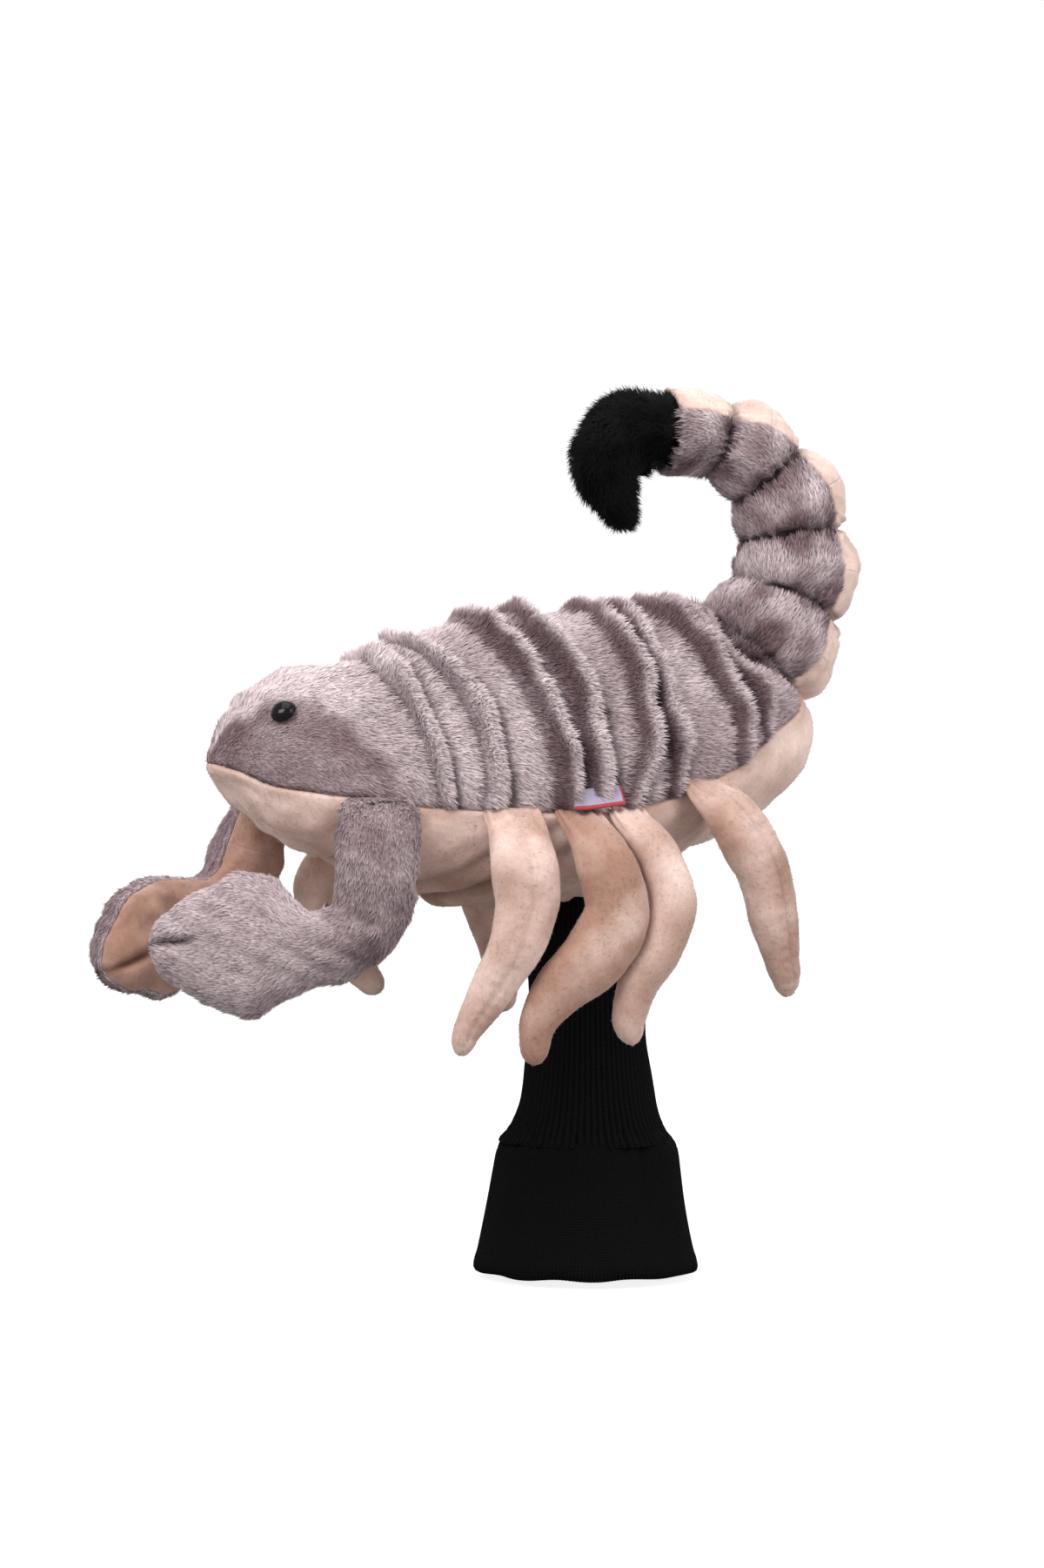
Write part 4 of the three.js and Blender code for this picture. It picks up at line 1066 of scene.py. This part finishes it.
def makeArm(which, arm, seed):
    side = arm["side"]
    joint = f"shoulder_{which}"
    centre, sizes, at, _ = limbLine(joint, side, *withRoot(arm, armGrid), crowd(armGrid["rows"], 0.15))
    sizes = sizes * np.maximum(blunt(at, armGrid["tipLength"]), 0.06)
    origin, forward, out = seamFrame(joint)
    # the wide way turns with the arm, from along the seam to upright
    along = unit(np.gradient(centre, axis=0))
    level = smoothStep(0, 16, at)[:, None]
    along = unit(along * level + straightDown * (1 - level))
    through = unit(out - along * np.sum(along * out, axis=1, keepdims=True)) * side
    across = np.cross(through, along)
    share = arm["grey"] / 2
    run = at[:, None]
    parted = np.argmin(np.abs(at - arm["parted"]))
    for panel, low, high, material, pile in (
        ("outer", -share, share, greyPlush, headPile),
        ("inner", share, 360 - share, beigePlush, beigePile),
    ):
        angles = np.radians(low + (high - low) * crowd(armGrid[f"{panel}Columns"], 0.3))
        c = signedPower(np.sin(angles), limbRoundness)[None, :, None]
        s = signedPower(np.cos(angles), limbRoundness)[None, :, None]
        flat = across[:, None] * c * sizes[:, None, :1] + through[:, None] * s * sizes[:, None, 1:]
        points = centre[:, None] + flat
        normals = outwardNormals(points)
        if np.sum(normals * flat) < 0:
            normals = -normals
        edge = np.minimum(gridDistance(points, 1, 0), gridDistance(points, 1, 1))
        tip = at[-1] - run
        calm = smoothStep(0, 12, tip)
        rise = 0.9 * softNoise(points, 26, seed) * smoothStep(2, 18, run) * calm
        rise = rise + 0.4 * softNoise(points, 9, seed + 1) * calm
        # the slit between the claw's two fingers, on both faces and through the tip
        upward = np.sum(flat * across[:, None], axis=-1) / np.maximum(sizes[:, :1], 1)
        fromSlit = (upward - arm["slit"]) * sizes[:, :1]
        slit = hill(fromSlit, 0, 1.5) * (1 - smoothStep(14, 25, tip))
        rise -= 3.0 * slit * smoothStep(0.5, 6, tip)
        finger = hill(np.abs(fromSlit), 5, 3) * (1 - smoothStep(12, 24, tip))
        rise += 0.8 * finger * calm
        crook = hill(run - arm["parted"], 18, 9)
        rise -= 0.7 * crook * np.abs(np.sin(3.1 * angles + run / 7))
        rise -= rollEdge(edge, np.minimum(1.8, sizes[:, :1] * 0.25))
        outer = points + normals * rise[..., None]
        upper, fore, inside = arm["nap"]
        nap = inside
        if panel == "outer":
            nap = upper + (fore - upper) * smoothStep(arm["parted"] + 18, arm["parted"] + 42, run)
        # painted shade in the slit between the claw's fingers, through both the nap and the fold values
        nap = nap + 0.1 * softNoise(points, 26, seed + 2) + 0.05 * softNoise(points, 9, seed + 3) - 0.5 * slit
        if panel == "outer":
            nap = nap + 0.6 * hill(edge, 0, 1.4)
        values = {"nap": np.clip(nap, 0, 1), "fold": 1 - 0.4 * np.clip(slit, 0, 1)}
        seat = (centre[0] + straightDown, centre[0] + straightDown * armGrid["bendTo"])
        elbow = np.array(arm["elbow"], float)
        elbow = origin + elbow[:, :1] * forward + side * elbow[:, 1:2] * out + elbow[:, 2:3] * straightDown
        for part, rows, bodies, bend in (
            (f"arm_{which}_upper_{panel}", slice(0, parted + 1), ("trunk", f"arm_{which}_upper"), seat),
            (f"claw_{which}_{panel}", slice(parted, None), (f"arm_{which}_upper", f"claw_{which}"), elbow),
        ):
            some = {k: v[rows] for k, v in values.items()}
            name = part.replace("arm_", "sleeve_").replace("claw_", "pincer_")
            skin = plushPanel(name, outer[rows], some, material, pile, bodies, seed + 5, bend,
                              thick=armGrid["cloth"])
            nodes = [part]
            if panel == "outer":
                nodes.append(part.replace("_outer", "_stuffing"))
            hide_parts(*nodes)


for n, (which, arm) in enumerate(arms.items()):
    makeArm(which, arm, 320 + 20 * n)
print("arms made")


# Tail: bulges between gathered creases, grey inside the curl with a beige strip round the outside. Each piece
# runs from the middle of one bulge to the middle of the next, so that it crosses one joint.
tail = {
    "creases": [24.5, 20.5, 20, 16, 14.2, 17],
    "bulges": [29.5, 26, 23.5, 19.5, 17],
    "outward": [5.5, 3, 3.2, 3, 2.2],
    "beige": 118,
    "rowsEach": 50, "lastRows": 40, "backColumns": 97, "stripColumns": 49,
    "cuts": [-0.22, 0.5, 1.5, 2.5, 3.5, 4.5, 4.97],
    "gather": 0.9, "cloth": 1.0, "bendShare": 0.26, "seed": 400,
}
tailJoints = [f"tail_{n}_bend" for n in range(1, 6)] + ["stinger_bend"]
tailSpots = np.array([jointPlace(name) for name in tailJoints])


def tailLine(u):
    # u counts the creases: 0 is where the tail leaves the body and 5 is where the stinger starts
    before = tailSpots[0] * 2 - tailSpots[1] + np.array([-4.0, 0, 2.0])
    after = tailSpots[-1] + np.array([-26.0, 0, -1.0])
    knots = np.arange(-1, 7)
    return smoothCurve(knots, np.concatenate([[before], tailSpots, [after]]), u)


def tailRadius(u, low, high):
    share = u - np.floor(u)
    link = np.clip(np.floor(u).astype(int), 0, 4)
    base = np.interp(u, np.arange(6), low)
    swell = np.abs(np.sin(np.pi * share)) ** 0.62
    return base + (np.array(high)[link] - (np.array(low)[link] + np.array(low)[link + 1]) / 2) * swell


def makeTail():
    cuts = tail["cuts"]
    half = tail["beige"] / 2
    seed = tail["seed"]
    whole = np.linspace(-0.3, 5.2, 600)
    heading = unit(np.gradient(tailLine(whole), axis=0))
    for piece in range(6):
        u = np.linspace(cuts[piece], cuts[piece + 1], tail["rowsEach" if piece < 5 else "lastRows"])
        centre = tailLine(u)
        ahead = unit(np.stack([np.interp(u, whole, heading[:, k]) for k in range(3)], 1))
        inner = np.stack([-ahead[:, 2], ahead[:, 1], ahead[:, 0]], 1)
        radius = tailRadius(np.clip(u, 0, 5), tail["creases"], tail["bulges"])
        radius = radius - 7 * smoothStep(0, cuts[0], u) * (u < 0)
        link = np.clip(np.floor(u).astype(int), 0, 4)
        extra = np.array(tail["outward"])[link] * np.abs(np.sin(np.pi * np.clip(u, 0, 5))) ** 0.8
        nearCrease = (np.abs(u - np.round(u)) * 30)[:, None]
        for panel, low, high, material, pile in (
            ("back", -180 + half, 180 - half, greyPlush, greyPile),
            ("strip", 180 - half, 180 + half, beigePlush, beigePile),
        ):
            angles = np.radians(low + (high - low) * crowd(tail[f"{panel}Columns"], 0.25))
            outward = np.clip(-np.cos(angles), 0, 1)[None] ** 1.5
            reach = radius[:, None] + extra[:, None] * outward
            flat = inner[:, None] * np.cos(angles)[None, :, None]
            flat = flat + np.array([0, -0.95, 0]) * np.sin(angles)[None, :, None]
            points = centre[:, None] + flat * reach[..., None]
            normals = gridNormals(points)
            if np.sum(normals * flat) < 0:
                normals = -normals
            edge = np.minimum(gridDistance(points, 1, 0), gridDistance(points, 1, 1))
            sway = softNoise(points, 16, seed + 1)
            folds = np.cos(15 * angles[None] + 4 * sway) * tail["gather"] * hill(nearCrease, 0, 5)
            rise = folds + 0.9 * softNoise(points, 18, seed) + 0.4 * softNoise(points, 8, seed + 2)
            rise -= 1.2 * hill(nearCrease, 0, 1.3)
            rise -= rollEdge(edge, 1.8)
            outer = points + normals * rise[..., None]
            # painted shade in and beside each crease: middle is near a crease and darkens the nap there, and
            # fold darkens the crease itself
            middle = 1 - smoothStep(3, 12, nearCrease)
            nap = 0.5 + 0.34 * softNoise(points, 17, seed + 3) + 0.12 * np.sin(3 * angles + 1)[None]
            nap = nap - 0.25 * middle
            if panel == "strip":
                nap = 0.95 + 0.2 * softNoise(points, 20, seed + 4) - 0.15 * middle
            fold = 1 - 0.45 * hill(nearCrease, 0, 2.2) * np.ones_like(nap)
            values = {"nap": np.clip(nap, 0, 1), "fold": fold}
            name = f"tail_{panel}_{piece + 1}"
            if piece < 5:
                bodies = ("trunk" if piece == 0 else f"tail_{piece}", f"tail_{piece + 1}")
                bend = tailLine(np.array([piece - tail["bendShare"], piece + tail["bendShare"]]))
            else:
                bodies, bend = "tail_5", None
            skin = plushPanel(name, outer, values, material, pile, bodies, seed + 100 + piece, bend,
                              thick=tail["cloth"])
            if piece < 5:
                kind = "back" if panel == "back" else "belly"
                nodes = [f"tail_{piece + 1}_{kind}"]
                if panel == "back":
                    nodes.append(f"tail_{piece + 1}_stuffing")
                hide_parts(*nodes)


makeTail()
print("tail made")


# Stinger: a black bulb of long pile that narrows to a blunt hooked tip. Its rows are the centre line's place
# ahead of the last crease and below it, and the radius.
stinger = {
    "rows": [[-3.5, 0, 9], [-0.5, -0.2, 15], [5, -0.8, 16.6], [12, -0.6, 17.2], [19.2, 2, 17.4],
             [24.6, 8, 16.8], [27, 17, 15], [25, 25, 12.2], [22, 32, 9.2], [18.5, 37.5, 6.6],
             [16.5, 40.5, 5]],
    "width": 0.92, "lengthRows": 80, "columns": 64, "sunk": 1.6, "bend": [1.0, -9.0],
}


def makeStinger():
    rows = np.array(stinger["rows"])
    pivot = tailSpots[-1]
    spots = pivot + rows[:, :1] * np.array([-1.0, 0, 0]) + rows[:, 1:2] * np.array([0, 0, -1.0])
    run = lengthAlong(spots)
    at = run[-1] * crowd(stinger["lengthRows"], 0.35)
    centre = smoothCurve(run, spots, at)
    radius = smoothCurve(run, rows[:, 2], at)[:, None] * np.maximum(blunt(at, 5), 0.06)
    along = unit(np.gradient(centre, axis=0))
    inner = np.stack([-along[:, 2], along[:, 1], along[:, 0]], 1)
    angles = np.linspace(0, 2 * np.pi, stinger["columns"], endpoint=False)
    flat = inner[:, None] * np.cos(angles)[None, :, None]
    flat = flat + np.array([0, -stinger["width"], 0]) * np.sin(angles)[None, :, None]
    rings = centre[:, None] + flat * radius[..., None]
    normals = outwardNormals(rings, True)
    rise = (0.6 * softNoise(rings, 14, 601) - stinger["sunk"])[..., None]
    rings = rings + normals * rise * smoothStep(0, 6, at[-1] - at)[:, None, None]
    nap = np.clip(0.5 + 0.4 * softNoise(rings, 15, 602), 0, 1)
    values = {"nap": nap, "fold": np.ones_like(nap)}
    cover = stuffedTube("stinger_stuffed", rings, blackPlush, flatValues(values, 0.3))
    tufts = growPile("stinger_pile", rings, outwardNormals(rings, True), pileLie(rings), values, blackPile,
                     blackPlush, 603, wraps=True)
    bend = [pivot + [ahead, 0, 0] for ahead in stinger["bend"]]
    finishPlush([cover, *tufts], ("tail_5", "stinger"), bend)
    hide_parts("stinger_cover", "stinger_stuffing")


makeStinger()
print("stinger made")


# Label: a small folded tab of satin weave, blank, with a red thread along its lower and rear edges
label = {"width": 22.0, "drop": 8.5, "fold": 0.5, "border": 0.7, "cloth": 0.22, "tilt": 30, "rows": 26}


def labelMaterial():
    material, tree, shader = newMaterial("woven_label", 0.45)
    where = objectPlace(tree)
    wired = {"Vector": where, "Scale": 900.0, "Distortion": 1.0}
    warp = addNode(tree, "ShaderNodeTexWave", {"bands_direction": "X"}, **wired).outputs[1]
    cloudy = noise(tree, where, 220.0)
    satin = mixColours(tree, cloudy, (0.33, 0.28, 0.39, 1), (0.44, 0.39, 0.51, 1))
    red = maths(tree, "GREATER_THAN", attribute(tree, "border"), 0.5)
    colour = mixColours(tree, red, satin, (0.42, 0.02, 0.035, 1))
    addBump(tree, shader, warp, 0.4, 0.0002)
    tree.links.new(colour, shader.inputs["Base Color"])
    shader.inputs["Sheen Weight"].default_value = 0.2
    return material


def makeLabel():
    # down the front leaf, round the fold and up the back leaf
    pivot = jointPlace("label_flap")
    leaf = label["rows"]
    down = np.linspace(0, label["drop"], leaf)
    turn = np.linspace(0, np.pi, 9)[1:-1]
    half = label["fold"]
    out = np.concatenate([np.full(leaf, half), half * np.cos(turn), np.full(leaf, -half)])
    drop = np.concatenate([down, label["drop"] + half * np.sin(turn), down[::-1]])
    across = np.linspace(-label["width"] / 2, label["width"] / 2, 67)
    tilt = np.radians(label["tilt"])
    curl = 0.9 * (across / 11) ** 2 + 0.35 * np.sin(across / 3.4)
    x = pivot[0] + across[None] + 0 * drop[:, None]
    outwards = out[:, None] + 0.10 * drop[:, None] * curl[None]
    y = pivot[1] - np.cos(tilt) * outwards - np.sin(tilt) * drop[:, None]
    z = pivot[2] + np.sin(tilt) * outwards - np.cos(tilt) * drop[:, None] + 0.1 * across[None]
    points = np.stack([x, y, z], -1)
    low, rear = drop[:, None], across[None]
    border = (low > label["drop"] - label["border"]) | (rear > label["width"] / 2 - label["border"])
    piece = clothPanel("label_tab", points, label["cloth"], labelMaterial(), {"border": border})
    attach(piece, "label")
    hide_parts("side_label")


makeLabel()
print("label made")


# The pieces inside keep their own shapes: padding, pouch lining, head filling and eye washers
for node in frame["nodes"].values():
    if not node.data.materials:
        node.data.materials.append(fibreFill)
for name, finish in (
    ("padding_lower", fibreFill),
    ("pouch_lining", innerCloth),
    ("eye_washer_left", washerPlastic),
    ("eye_washer_right", washerPlastic),
):
    node = frame["nodes"][name]
    for slotted in node.material_slots:
        slotted.material = finish


# Studio: a pale floor, a white surround, a large soft key from the upper left and a weak fill
studio = {"surround": 0.6, "seen": 1.05, "floorGlow": 0.86, "floorSide": 6.0, "floorDrop": 0.003}
lights = {  # place, aim, size and power
    "key_light": [(-1.5, -1.0, 1.35), (-0.02, 0, 0.2), 1.1, 28.0],
    "fill_light": [(1.3, -1.4, 0.6), (0, 0, 0.2), 1.2, 14.0],
    "top_light": [(-0.2, -0.3, 1.9), (0, 0, 0.2), 1.6, 14.0],
    "rim_light": [(0.7, 1.2, 1.1), (0, 0, 0.25), 0.8, 10.0],
}


def addLight(name, place, target, size, power):
    lamp = bpy.data.lights.new(name, "AREA")
    lamp.size = size
    lamp.energy = power
    holder = bpy.data.objects.new(name, lamp)
    scene.collection.objects.link(holder)
    holder.location = place
    aim = mathutils.Vector(target) - mathutils.Vector(place)
    holder.rotation_euler = aim.to_track_quat("-Z", "Y").to_euler()


for name, light in lights.items():
    addLight(name, *light)

world = bpy.data.worlds.new("studio")
world.use_nodes = True
scene.world = world
tree = world.node_tree
ground = tree.nodes["Background"]
ground.inputs["Color"].default_value = (1, 1, 1, 1)
seen = addNode(tree, "ShaderNodeLightPath").outputs["Is Camera Ray"]
bright = maths(tree, "MULTIPLY_ADD", seen, studio["seen"] - studio["surround"], studio["surround"])
tree.links.new(bright, ground.inputs["Strength"])

far = studio["floorSide"]
floorMesh = bpy.data.meshes.new("floor")
floorMesh.from_pydata([(-far, -far, 0), (far, -far, 0), (far, far, 0), (-far, far, 0)], [], [(0, 1, 2, 3)])
paper = plainMaterial("floor_paper", (0.34, 0.34, 0.34), (0.32, 0.32, 0.32), 3.0, 0.9, 0.0, 0.1)
glow = paper.node_tree.nodes["Principled BSDF"]
glow.inputs["Emission Color"].default_value = (1, 1, 1, 1)
tree = paper.node_tree
seen = addNode(tree, "ShaderNodeLightPath").outputs["Is Camera Ray"]
tree.links.new(maths(tree, "MULTIPLY", seen, studio["floorGlow"]), glow.inputs["Emission Strength"])
floorMesh.materials.append(paper)
floor = bpy.data.objects.new("floor", floorMesh)
floor.location.z = -studio["floorDrop"]
scene.collection.objects.link(floor)

# Camera: level, twenty-two degrees ahead of the side
lens = bpy.data.cameras.new("camera")
lens.lens = 85
lens.sensor_width = 36
camera = bpy.data.objects.new("camera", lens)
camera.location = (-0.6199, -1.4603, 0.2077)
camera.rotation_euler = (np.radians(90), 0, np.radians(-22))
scene.collection.objects.link(camera)
scene.camera = camera
scene.view_settings.view_transform = "Standard"
print("studio made")
